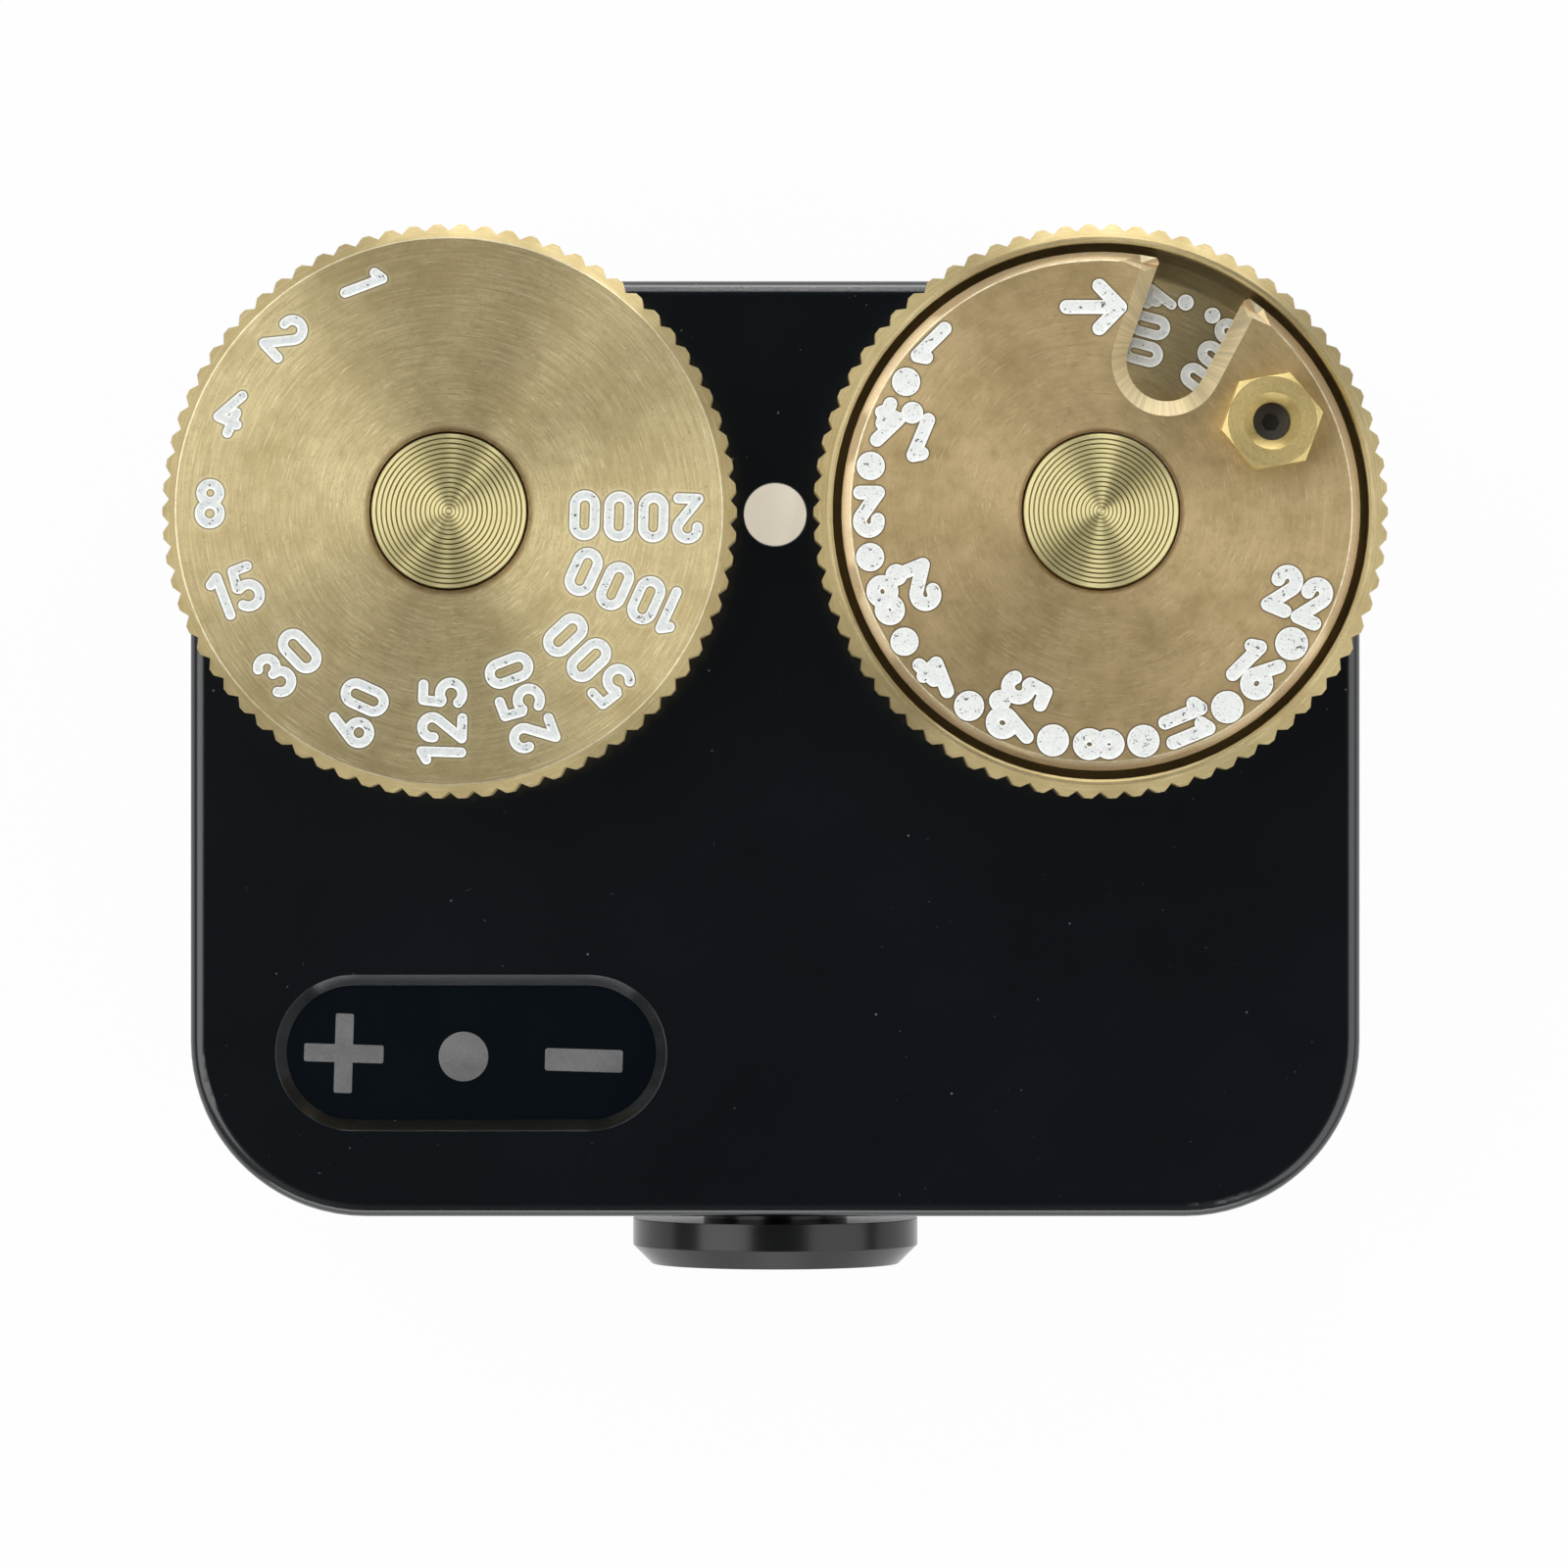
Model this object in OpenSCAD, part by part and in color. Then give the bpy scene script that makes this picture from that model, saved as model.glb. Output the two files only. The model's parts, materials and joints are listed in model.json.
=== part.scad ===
// Shoe mount light meter: a small black case with two brass dials on top,
// a three-light window, a round push button at the back and a sliding foot below.
// Millimetres, +Z up. The origin is the middle of the foot's sliding face.

/* [Case] */
// Width of the case, left to right
case_w = 40; // [38:0.5:48]
// Depth of the case, button side to sensor side
case_d = 32; // [30:0.5:40]
// Height of the case, without the foot
case_h = 11.5; // [11:0.25:15]
// Radius of the case's upright corners
case_corner_r = 6; // [4:0.25:7]
// Radius of the rounded edge round the top plate
case_edge_r = 0.5; // [0.2:0.05:0.9]
// Bevel round the case's lower edge
case_foot_bevel = 0.3; // [0.1:0.05:0.6]
// Thickness of the side walls
wall = 1.5; // [1.2:0.1:2]
// Thickness of the top plate
top_wall = 1.5; // [1.3:0.1:2]
// Radius of the screw bosses on the side walls
boss_r = 2; // [1.7:0.1:2.2]
// Height of the screw bosses
boss_h = 4.5; // [4:0.25:5]
// Distance of the bosses' screws from the case's left and right sides
boss_inset = 3.4; // [3.4:0.1:4]
// Distance of the bosses' screws from the case's front and back
boss_inset_y = 8.6; // [8.2:0.1:9]

/* [Base plate and foot] */
// Thickness of the base plate
base_t = 1.5; // [1.2:0.1:2]
// Width of the foot's sliding plate
foot_w = 18.6; // [18:0.1:18.7]
// Length of the foot
foot_l = 18; // [15:0.5:20]
// Thickness of the foot's sliding plate
foot_t = 1.9; // [1.5:0.1:2]
// Width of the foot's neck
neck_w = 12.4; // [11.6:0.1:12.5]
// Height of the foot's neck, which is the slot for the shoe's rails
neck_h = 2.1; // [1.8:0.1:3]
// Bevel on the foot's leading corners
foot_corner_bevel = 1.2; // [0.5:0.1:2]
// Spacing of the foot's screws across the foot
foot_pitch_x = 9; // [8:0.25:9.5]
// Spacing of the foot's screws along the foot
foot_pitch_y = 11; // [9:0.5:12]
// Radius of the foot screws' threads
foot_screw_r = 0.8; // [0.6:0.05:1]
// Radius of the foot screws' heads
foot_head_r = 1.7; // [1.4:0.05:2]
// Radius of the base screws' threads
base_screw_r = 0.8; // [0.5:0.05:1]
// Radius of the base screws' heads
base_head_r = 1.5; // [1.2:0.05:1.8]
// Length of the base screws
base_screw_l = 4.5; // [3:0.25:5.5]

/* [Dials] */
// Distance between the two dials' axes, as a share of the case's width
dial_spread = 0.55; // [0.53:0.005:0.57]
// Distance of the dials' axes from the case's sensor side
dial_inset = 8; // [7.5:0.25:9.5]
// Radius over the knurled teeth
knurl_r = 9.7; // [9.2:0.05:10]
// Number of knurled teeth
knurl_teeth = 74; // [60:1:90]
// Depth of the grooves between the teeth
knurl_depth = 0.23; // [0.1:0.01:0.4]
// Share of each tooth's width that its blunt crest takes
knurl_crest = 0.3; // [0.1:0.02:0.5]
// Height of a dial
dial_h = 3.4; // [3.2:0.1:5]
// Gap between a dial and the top plate
dial_gap = 0.3; // [0.2:0.05:0.8]
// Bevel round a dial's upper edge
rim_bevel = 0.45; // [0.2:0.05:0.6]
// Bevel round a dial's lower edge
dial_foot_bevel = 0.3; // [0.1:0.05:0.5]
// Radius of the hollow under a dial
dial_recess_r = 4.6; // [4.4:0.1:5.5]
// Depth of the hollow under a dial
dial_recess_h = 1.2; // [1.1:0.05:1.3]

/* [Aperture dial] */
// Depth of the cup in the aperture ring
cup_depth = 1.3; // [1.2:0.05:1.4]
// Radius of the cup in the aperture ring
cup_r = 9.06; // [8.6:0.02:9.1]
// Bevel inside the ring's rim
cup_bevel = 0.08; // [0.04:0.02:0.3]
// Groove between the ring and the disc
disc_gap = 0.3; // [0.1:0.05:0.5]
// Clearance between the disc and the cup's floor
disc_lift = 0.1; // [0.05:0.05:0.15]
// Bevel round the disc's edge
disc_bevel = 0.27; // [0.05:0.01:0.4]
// Direction of the disc's notch, from +X
notch_angle = 66.3; // [0:0.1:90]
// Distance of the notch's round end from the dial's axis
notch_reach = 5.55; // [5:0.05:6.5]
// Radius of the notch's round end
notch_r = 1.36; // [1:0.02:1.6]
// Flare of each side of the notch
notch_flare = 4.2; // [0:0.1:8]
// Width of the bevel round the notch
notch_bevel = 0.52; // [0.1:0.02:0.6]
// Distance that the flat bevel across the notch's mouth reaches in from the disc's edge
notch_mouth = 0.75; // [0.4:0.05:1]
// Size of the blunted corners at the notch's mouth
notch_blunt = 0.3; // [0.1:0.05:0.6]
// Radius of the seat that the disc turns on
pivot_r = 2; // [1.8:0.05:2.2]
// Outer radius of the friction washer
washer_r = 3.9; // [3:0.05:4]
// Thickness of the friction washer
washer_t = 0.33; // [0.2:0.01:0.4]
// Distance of the hexagonal post from the dial's axis
post_reach = 6.42; // [6:0.02:6.8]
// Direction of the hexagonal post, from +X
post_angle = 27.6; // [10:0.1:35]
// Width of the post across its flats
post_flats = 3; // [2.5:0.05:3.4]
// Height of the post above the disc
post_h = 1.6; // [1:0.05:2.5]
// Turn of the post's flats
post_turn = 10; // [0:1:60]
// Radius of the post's bore
post_bore_r = 0.64; // [0.4:0.02:0.8]
// Radius of the post's shank
post_shank_r = 0.95; // [0.9:0.05:1.2]
// Depth of the set screw below the post's top
set_screw_depth = 1.3; // [0.3:0.05:1.5]

/* [Spindles] */
// Radius of the centre caps
cap_r = 2.64; // [2.4:0.02:2.8]
// Thickness of the centre caps
cap_t = 0.9; // [0.8:0.05:0.95]
// Radius of the caps' screws
cap_screw_r = 0.6; // [0.4:0.05:0.7]
// Length of the caps' screws
cap_screw_l = 2.3; // [1.5:0.1:3]
// Radius of the spindles
spindle_r = 1.5; // [1.3:0.05:1.7]
// Radius of the spindles' upper ends, in the dials
spigot_r = 1.2; // [1:0.05:1.25]
// Depth of the flats on the spindles
spindle_flat = 0.3; // [0.1:0.05:0.4]
// Radius of the bushings' threaded necks
bushing_r = 2.6; // [2.3:0.05:2.8]
// Radius of the bushings' flanges
bushing_flange_r = 3.8; // [3.2:0.1:4.5]
// Thickness of the bushings' flanges
bushing_flange_t = 0.6; // [0.4:0.05:0.8]
// Radius of the panel nuts
panel_nut_r = 4; // [3.6:0.05:4.1]
// Thickness of the panel nuts
panel_nut_t = 0.8; // [0.5:0.05:1]
// Side of the rotary sensors
encoder_side = 10; // [9:0.25:11]
// Height of the rotary sensors
encoder_h = 2; // [1.8:0.05:2.2]
// Radius of the rotary sensors' rotors
rotor_r = 3; // [2.6:0.05:3.4]
// Height of the rotors
rotor_h = 1.3; // [1:0.05:1.4]

/* [Index mark and light window] */
// Radius of the index mark between the dials
index_r = 1.065; // [0.8:0.005:1.2]
// Length of the light window's opening
window_l = 13.36; // [12:0.02:13.6]
// Width of the light window's opening
window_w = 5.32; // [4.8:0.02:5.6]
// Distance of the window's middle from the case's left side
window_inset_x = 9.61; // [9.4:0.01:10.5]
// Distance of the window's middle from the case's button side
window_inset_y = 5.61; // [5.4:0.01:6.2]
// Bevel round the window
window_bevel = 0.37; // [0.1:0.01:0.5]
// Depth of the glass below the top plate
window_sink = 0.4; // [0.38:0.02:0.7]
// Thickness of the window's hidden flange
window_flange_t = 0.5; // [0.3:0.05:0.7]
// Width of the window's hidden flange
window_flange_w = 0.5; // [0.3:0.05:0.6]
// Spacing of the three lights
light_pitch = 4.1; // [3.6:0.05:4.3]
// Radius of the wells in the light mask
light_well_r = 1.5; // [1.2:0.05:1.7]
// Length of the light chips
light_chip_l = 1.6; // [1:0.1:2]
// Width of the light chips
light_chip_w = 0.8; // [0.5:0.1:1.6]
// Height of the light chips
light_chip_h = 0.6; // [0.3:0.05:1]

/* [Button] */
// Radius of the button's head
button_r = 4.95; // [4.2:0.05:5.2]
// Thickness of the button's head
button_t = 1.58; // [1.2:0.02:2.5]
// Bevel round the button's face
button_bevel = 0.65; // [0.2:0.05:0.9]
// Gap between the button's head and the case
button_gap = 0.3; // [0.26:0.02:0.6]
// Travel of the button
button_travel = 0.25; // [0.15:0.05:0.25]
// Radius of the button's stem
stem_r = 2.5; // [2:0.05:2.7]
// Radius of the button's bush
bush_r = 3.5; // [3.2:0.05:3.7]
// Width of the bush's hidden flange
bush_flange_w = 0.4; // [0.2:0.05:0.45]
// Thickness of the bush's hidden flange
bush_flange_t = 0.6; // [0.4:0.05:0.8]
// Thickness of the retaining clip
clip_t = 0.5; // [0.3:0.05:0.6]
// Radius of the retaining clip
clip_r = 3.6; // [3.2:0.05:3.8]
// Depth of the clip's groove in the stem
clip_groove = 0.5; // [0.3:0.05:0.7]
// Radius of the switch's plunger
plunger_r = 0.8; // [0.5:0.05:1]
// Length of the switch's plunger
plunger_l = 1.45; // [1.2:0.05:1.6]
// Width of the switch
switch_w = 4.6; // [4:0.1:6]
// Length of the switch
switch_l = 3; // [2.6:0.1:3.4]

/* [Sensor] */
// Radius of the sensor's bezel
bezel_r = 3.2; // [2.9:0.05:3.5]
// Radius of the bezel's mouth
bezel_mouth_r = 2.8; // [2.5:0.05:2.85]
// Radius of the lens
lens_r = 2.35; // [2.2:0.05:2.6]
// Radius of the lens's dome where it starts
lens_dome_base_r = 2; // [1.8:0.05:2.05]
// Radius of the lens's dome, as a ball
lens_ball_r = 4.5; // [3:0.1:8]
// Thickness of the lens's edge
lens_t = 0.85; // [0.6:0.05:0.95]
// Side of the light sensor chip
photodiode_side = 4.8; // [3:0.1:5.2]
// Thickness of the light sensor chip
photodiode_t = 0.8; // [0.5:0.05:0.85]

/* [Circuit board and battery] */
// Thickness of the circuit board
board_t = 0.8; // [0.6:0.05:1]
// Side of the controller chip
chip_side = 5; // [4:0.25:6]
// Height of the controller chip
chip_h = 0.9; // [0.6:0.05:1.2]
// Radius of the coin cell
cell_r = 10; // [9:0.5:10]
// Thickness of the coin cell
cell_t = 3.2; // [2.5:0.1:3.2]
// Place of the cell from the middle of the case
cell_y = 0.5; // [0:0.1:0.8]
// Thickness of the battery tray's floor
tray_floor = 0.4; // [0.3:0.05:0.5]
// Thickness of the battery tray's wall
tray_wall = 1.05; // [0.8:0.05:1.1]
// Height of the battery tray
tray_h = 3; // [2:0.1:3.2]
// Thickness of the battery's contact springs
spring_t = 0.15; // [0.1:0.01:0.25]
// Width of the battery's contact springs
spring_w = 4; // [3:0.25:5]

/* [Clearances] */
// Radial clearance of a shaft that turns or slides
run_clear = 0.05; // [0.02:0.01:0.09]
// Clearance of pieces that are fixed together
fit_clear = 0.02; // [0.01:0.01:0.05]
// Clearance round the base plate and the circuit board
plate_clear = 0.1; // [0.05:0.05:0.3]

/* [Hidden] */
$fn = 96;
// Overlap of a cutting tool past the face that it opens
cut = 0.5;

black = [0.09, 0.10, 0.11];
dark_plastic = [0.05, 0.05, 0.06];
brass = [0.74, 0.64, 0.40];
pale_brass = [0.80, 0.72, 0.50];
steel = [0.70, 0.71, 0.72];
board_green = [0.07, 0.25, 0.16];

// Heights, from the foot's sliding face up
case_z0 = foot_t + neck_h;
base_top = case_z0 + base_t;
case_top = case_z0 + case_h;
ceiling = case_top - top_wall;
middle_z = case_z0 + case_h / 2;
board_top = ceiling - bushing_flange_t - encoder_h;
board_z0 = board_top - board_t;
dial_z0 = case_top + dial_gap;
dial_top = dial_z0 + dial_h;
recess_top = dial_z0 + dial_recess_h;
cap_z0 = dial_top - cap_t;
cup_floor = dial_top - cup_depth;
disc_z0 = cup_floor + disc_lift;
disc_r = cup_r - disc_gap;
// The disc's ledge under the cap ends a running clearance below the cap
ledge_top = cap_z0 - run_clear;

// Faces of the walls, along Y
back_face = -case_d / 2;
back_inside = back_face + wall;
front_face = case_d / 2;
front_inside = front_face - wall;

// Inside of the case
hollow_w = case_w - 2 * wall;
hollow_d = case_d - 2 * wall;
hollow_corner_r = case_corner_r - wall;

// Places, from the middle of the case
dial_x = dial_spread * case_w / 2;
dial_y = case_d / 2 - dial_inset;
window_x = case_w / 2 - window_inset_x;
window_y = case_d / 2 - window_inset_y;
boss_x = case_w / 2 - boss_inset;
boss_y = case_d / 2 - boss_inset_y;
boss_places = [for (x = [-1, 1], y = [-1, 1]) [x * boss_x, y * boss_y]];
foot_screw_places = [for (x = [-1, 1], y = [-1, 1]) [x * foot_pitch_x / 2, y * foot_pitch_y / 2]];
// The base plate's outer holes let the foot move one step to either side
spare_hole_places = [for (x = [-1, 1], y = [-1, 1]) [x * foot_pitch_x * 1.5, y * foot_pitch_y / 2]];
shutter_place = [-dial_x, dial_y];
aperture_place = [dial_x, dial_y];
post_place = aperture_place + post_reach * [cos(post_angle), sin(post_angle)];

// Button and switch, along Y
head_back = back_face - button_gap;
head_front = head_back - button_t;
bush_end = back_inside + bush_flange_t;
clip_y = bush_end + run_clear;
stem_end = clip_y + clip_t + 0.3;
switch_front = stem_end + button_travel + 0.3;
switch_h = 2 * (board_z0 - middle_z);

// Sensor, along Y
bezel_flange_t = bush_flange_t;
bezel_end = front_inside - bezel_flange_t;
bezel_lip_y = front_face - 0.8;
lens_seat_y = bezel_lip_y - 0.2;

board_w = hollow_w - 6 * plate_clear;
board_d = hollow_d - 6 * plate_clear;
// The board's notches stop short of the switch and just behind the sensor chip
notch_half_w = bush_r + bush_flange_w + 4 * plate_clear;
back_notch_y = switch_front - plate_clear;
front_notch_y = bezel_end - plate_clear - photodiode_t - run_clear;
boss_notch = boss_r + 3 * plate_clear;
cell_z0 = base_top + tray_floor;
cell_top = cell_z0 + cell_t;
tray_r = cell_r + 0.15 + tray_wall;

module rounded_rect(w, d, r) {
    square([w - 2 * r, d], center = true);
    square([w, d - 2 * r], center = true);
    for (x = [-1, 1], y = [-1, 1]) {
        translate([x * (w / 2 - r), y * (d / 2 - r)]) circle(r = r);
    }
}

module stadium(l, w) {
    square([l - w, w], center = true);
    for (x = [-1, 1]) translate([x * (l - w) / 2, 0]) circle(d = w);
}

// A cylinder along +Y that starts at y0 and ends at y1
module along_y(y0, y1, r) {
    translate([0, y0, middle_z]) rotate([-90, 0, 0]) cylinder(h = y1 - y0, r = r);
}

// A ring along +Z
module ring(r_out, r_in, h) {
    difference() {
        cylinder(h = h, r = r_out);
        translate([0, 0, -cut]) cylinder(h = h + 2 * cut, r = r_in);
    }
}

// A shaft or hole with one flat, cut to a D
module d_shaft(r, h) {
    difference() {
        cylinder(h = h, r = r);
        translate([r - spindle_flat, -r, -cut]) cube([r, 2 * r, h + 2 * cut]);
    }
}

// Half of the case's cross-section, from its middle to its outer face
module case_section(reach) {
    polygon([
        [0, 0], [reach - case_foot_bevel, 0], [reach, case_foot_bevel],
        [reach, case_h - case_edge_r], [0, case_h - case_edge_r]
    ]);
    square([reach - case_edge_r, case_h]);
    translate([reach - case_edge_r, case_h - case_edge_r]) circle(r = case_edge_r);
}

module case_run(reach, length) {
    linear_extrude(length, center = true) {
        case_section(reach);
        mirror([1, 0]) case_section(reach);
    }
}

module case_block() {
    translate([0, 0, case_z0]) {
        rotate([90, 0, 90]) case_run(case_d / 2, case_w - 2 * case_corner_r);
        rotate([90, 0, 0]) case_run(case_w / 2, case_d - 2 * case_corner_r);
        for (x = [-1, 1], y = [-1, 1]) {
            translate([x * (case_w / 2 - case_corner_r), y * (case_d / 2 - case_corner_r), 0])
                rotate_extrude() case_section(case_corner_r);
        }
    }
}

module window_cut() {
    inner_l = window_l - 2 * window_bevel;
    inner_w = window_w - 2 * window_bevel;
    half_run = (window_l - window_w) / 2;
    translate([-window_x, -window_y, 0]) {
        translate([0, 0, ceiling - cut])
            linear_extrude(top_wall + 2 * cut) stadium(inner_l, inner_w);
        translate([0, 0, case_top - window_bevel]) {
            for (x = [-1, 1]) {
                translate([x * half_run, 0, 0])
                    cylinder(h = 2 * window_bevel, r1 = inner_w / 2, r2 = inner_w / 2 + 2 * window_bevel);
            }
            rotate([90, 0, 90]) linear_extrude(2 * half_run, center = true) polygon([
                [-inner_w / 2, 0], [inner_w / 2, 0],
                [inner_w / 2 + 2 * window_bevel, 2 * window_bevel],
                [-inner_w / 2 - 2 * window_bevel, 2 * window_bevel]
            ]);
        }
    }
}

module case_shell() {
    color(black) difference() {
        union() {
            difference() {
                case_block();
                translate([0, 0, case_z0 - cut]) linear_extrude(case_h - top_wall + cut)
                    rounded_rect(hollow_w, hollow_d, hollow_corner_r);
            }
            for (p = boss_places) {
                translate([p[0], p[1], base_top]) cylinder(h = boss_h, r = boss_r);
                translate([p[0] > 0 ? p[0] : -(case_w - wall) / 2, p[1] - boss_r, base_top])
                    cube([boss_inset - wall / 2, 2 * boss_r, boss_h]);
            }
        }
        for (p = boss_places) {
            translate([p[0], p[1], base_top - cut])
                cylinder(h = base_screw_l - base_t + 2 * cut, r = base_screw_r);
        }
        for (p = [shutter_place, aperture_place]) {
            translate([p[0], p[1], ceiling - cut])
                cylinder(h = top_wall + 2 * cut, r = bushing_r + fit_clear);
        }
        translate([0, dial_y, ceiling - cut]) cylinder(h = top_wall + 2 * cut, r = index_r + fit_clear);
        window_cut();
        along_y(back_face - cut, back_inside + cut, bush_r + fit_clear);
        along_y(front_inside - cut, front_face + cut, bezel_r + fit_clear);
    }
}

// A countersunk screw that points up, with its head's face at z = 0
module countersunk(r, head_r, length) {
    difference() {
        union() {
            cylinder(h = head_r - r, r1 = head_r, r2 = r);
            cylinder(h = length, r = r);
        }
        translate([0, 0, -cut]) cylinder(h = cut + 0.35 * head_r, r = 0.45 * head_r, $fn = 6);
    }
}

// The seat for that screw's head
module countersink(r, head_r) {
    translate([0, 0, -cut]) cylinder(h = cut, r = head_r);
    cylinder(h = head_r - r, r1 = head_r, r2 = r);
}

module base_plate() {
    color(black) difference() {
        translate([0, 0, case_z0]) linear_extrude(base_t)
            rounded_rect(hollow_w - 2 * plate_clear, hollow_d - 2 * plate_clear,
                         hollow_corner_r - plate_clear);
        for (p = boss_places) translate([p[0], p[1], case_z0]) {
            countersink(base_screw_r + plate_clear, base_head_r + plate_clear);
            cylinder(h = base_t + cut, r = base_screw_r + plate_clear);
        }
        for (p = concat(foot_screw_places, spare_hole_places)) {
            translate([p[0], p[1], case_z0 - cut]) cylinder(h = base_t + 2 * cut, r = foot_screw_r);
        }
    }
}

module base_screws() {
    color(steel) for (p = boss_places) {
        translate([p[0], p[1], case_z0])
            countersunk(base_screw_r - fit_clear, base_head_r, base_screw_l);
    }
}

module shoe_foot() {
    color(steel) difference() {
        union() {
            linear_extrude(foot_t) polygon([
                [-foot_w / 2, -foot_l / 2], [foot_w / 2, -foot_l / 2],
                [foot_w / 2, foot_l / 2 - foot_corner_bevel],
                [foot_w / 2 - foot_corner_bevel, foot_l / 2],
                [foot_corner_bevel - foot_w / 2, foot_l / 2],
                [-foot_w / 2, foot_l / 2 - foot_corner_bevel]
            ]);
            translate([-neck_w / 2, -foot_l / 2, 0]) cube([neck_w, foot_l, foot_t + neck_h]);
        }
        for (p = foot_screw_places) translate([p[0], p[1], 0]) {
            countersink(foot_screw_r + plate_clear, foot_head_r + 2 * plate_clear);
            cylinder(h = foot_t + neck_h + cut, r = foot_screw_r + plate_clear);
        }
    }
}

module foot_screws() {
    // The heads are flush with the sliding face
    color(steel) for (p = foot_screw_places) translate([p[0], p[1], 0])
        countersunk(foot_screw_r - fit_clear, foot_head_r, base_top - plate_clear);
}

module index_dot() {
    color("ivory") translate([0, dial_y, ceiling]) cylinder(h = top_wall, r = index_r);
}

module led_window() {
    inner_l = window_l - 2 * window_bevel - 2 * fit_clear;
    inner_w = window_w - 2 * window_bevel - 2 * fit_clear;
    color(dark_plastic) translate([-window_x, -window_y, 0]) {
        translate([0, 0, ceiling - window_flange_t])
            linear_extrude(window_flange_t)
                stadium(window_l + 2 * window_flange_w, window_w + 2 * window_flange_w);
        translate([0, 0, ceiling]) linear_extrude(top_wall - window_sink) stadium(inner_l, inner_w);
    }
}

light_places = [for (i = [-1, 0, 1]) [i * light_pitch - window_x, -window_y]];

module led_mask() {
    color(dark_plastic) difference() {
        translate([-window_x, -window_y, board_top])
            linear_extrude(ceiling - window_flange_t - board_top) stadium(window_l, window_w);
        for (p = light_places) {
            translate([p[0], p[1], board_top - cut]) cylinder(h = encoder_h + 2 * cut, r = light_well_r);
        }
    }
}

module indicator_leds() {
    color("lightyellow") for (p = light_places) {
        translate([p[0] - light_chip_l / 2, p[1] - light_chip_w / 2, board_top])
            cube([light_chip_l, light_chip_w, light_chip_h]);
    }
}

module circuit_board() {
    color(board_green) difference() {
        translate([0, 0, board_z0]) linear_extrude(board_t)
            rounded_rect(board_w, board_d, hollow_corner_r - 3 * plate_clear);
        // Side notches, so that the board passes the bosses
        for (p = boss_places) {
            translate([p[0] > 0 ? p[0] - boss_notch : -case_w / 2, p[1] - boss_notch, board_z0 - cut])
                cube([boss_inset + boss_notch, 2 * boss_notch, board_t + 2 * cut]);
        }
        for (p = [shutter_place, aperture_place]) {
            translate([p[0], p[1], board_z0 - cut])
                cylinder(h = board_t + 2 * cut, r = spindle_r + 3 * plate_clear);
        }
        translate([-notch_half_w, -case_d, board_z0 - cut])
            cube([2 * notch_half_w, case_d + back_notch_y, board_t + 2 * cut]);
        translate([-notch_half_w, front_notch_y, board_z0 - cut])
            cube([2 * notch_half_w, case_d, board_t + 2 * cut]);
    }
}

module controller_chip() {
    // The chip lies on the free part of the board, between the dials and the button
    color(dark_plastic) translate([light_pitch, -window_y / 3, board_top + chip_h / 2])
        cube([chip_side, chip_side, chip_h], center = true);
}

module small_components() {
    rows = 3;
    row_pitch = 1.8;
    column_pitch = 3;
    first_x = 7.2;
    part = [1.6, 0.8, 0.5];
    color("tan") for (i = [0 : rows - 1], j = [0, 1]) {
        translate([first_x + j * column_pitch, -window_y + i * row_pitch, board_top])
            cube(part);
    }
}

module battery_tray() {
    slot_w = spring_w + 2 * cut;
    color(dark_plastic) translate([0, cell_y, base_top]) difference() {
        cylinder(h = tray_h, r = tray_r);
        translate([0, 0, tray_floor]) cylinder(h = tray_h, r = tray_r - tray_wall);
        translate([0, -slot_w / 2, tray_floor]) cube([2 * tray_r, slot_w, tray_h]);
    }
}

module battery_cell() {
    rim_bevel = 0.25;
    color("silver") translate([0, cell_y, cell_z0]) rotate_extrude() polygon([
        [0, 0], [cell_r - rim_bevel, 0], [cell_r, rim_bevel], [cell_r, cell_t - 2 * rim_bevel],
        [cell_r - 3 * rim_bevel, cell_t - 2 * rim_bevel], [cell_r - 4 * rim_bevel, cell_t], [0, cell_t]
    ]);
}

// A bent strip of spring metal: a pad under the board and a tongue down onto the cell
module cell_spring() {
    pad_l = 3;
    reach = 6;
    drop = board_z0 - cell_top;
    color("gold") translate([-reach, cell_y + spring_w / 2, cell_top]) rotate([90, 0, 0])
        linear_extrude(spring_w) polygon([
            [0, drop - spring_t], [pad_l, drop - spring_t], [pad_l + reach / 2, 0],
            [2 * pad_l + reach / 2, 0], [2 * pad_l + reach / 2, spring_t], [pad_l + reach / 2, spring_t],
            [pad_l, drop], [0, drop]
        ]);
}

// A strip that hangs from the board and touches the cell's rim through the tray's slot
module rim_spring() {
    pad_l = 2;
    strip_z0 = cell_z0 + cell_t / 4;
    strip_h = board_z0 - strip_z0;
    color("gold") translate([cell_r + fit_clear, cell_y + spring_w / 2, strip_z0])
        rotate([90, 0, 0]) linear_extrude(spring_w) {
            square([spring_t, strip_h]);
            translate([0, strip_h - spring_t]) square([pad_l, spring_t]);
        }
}

module tact_switch() {
    color(dark_plastic) difference() {
        translate([-switch_w / 2, switch_front, board_z0 - switch_h])
            cube([switch_w, switch_l, switch_h]);
        along_y(switch_front - cut, switch_front + plunger_l - button_travel / 2,
                plunger_r - run_clear);
    }
}

module button_bush() {
    color(black) difference() {
        union() {
            along_y(back_face, bush_end, bush_r);
            along_y(back_inside, bush_end, bush_r + bush_flange_w);
        }
        along_y(back_face - cut, bush_end + cut, stem_r + run_clear);
    }
}

module button_cap() {
    // Distances from the head's front face
    groove_from = clip_y - head_front;
    groove_to = groove_from + clip_t;
    end = stem_end - head_front;
    color(black) {
        translate([0, head_front, middle_z]) rotate([-90, 0, 0]) rotate_extrude() polygon([
            [0, 0], [button_r - button_bevel, 0], [button_r, button_bevel], [button_r, button_t],
            [stem_r, button_t], [stem_r, groove_from], [stem_r - clip_groove, groove_from],
            [stem_r - clip_groove, groove_to], [stem_r, groove_to], [stem_r, end], [0, end]
        ]);
    }
}

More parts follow.
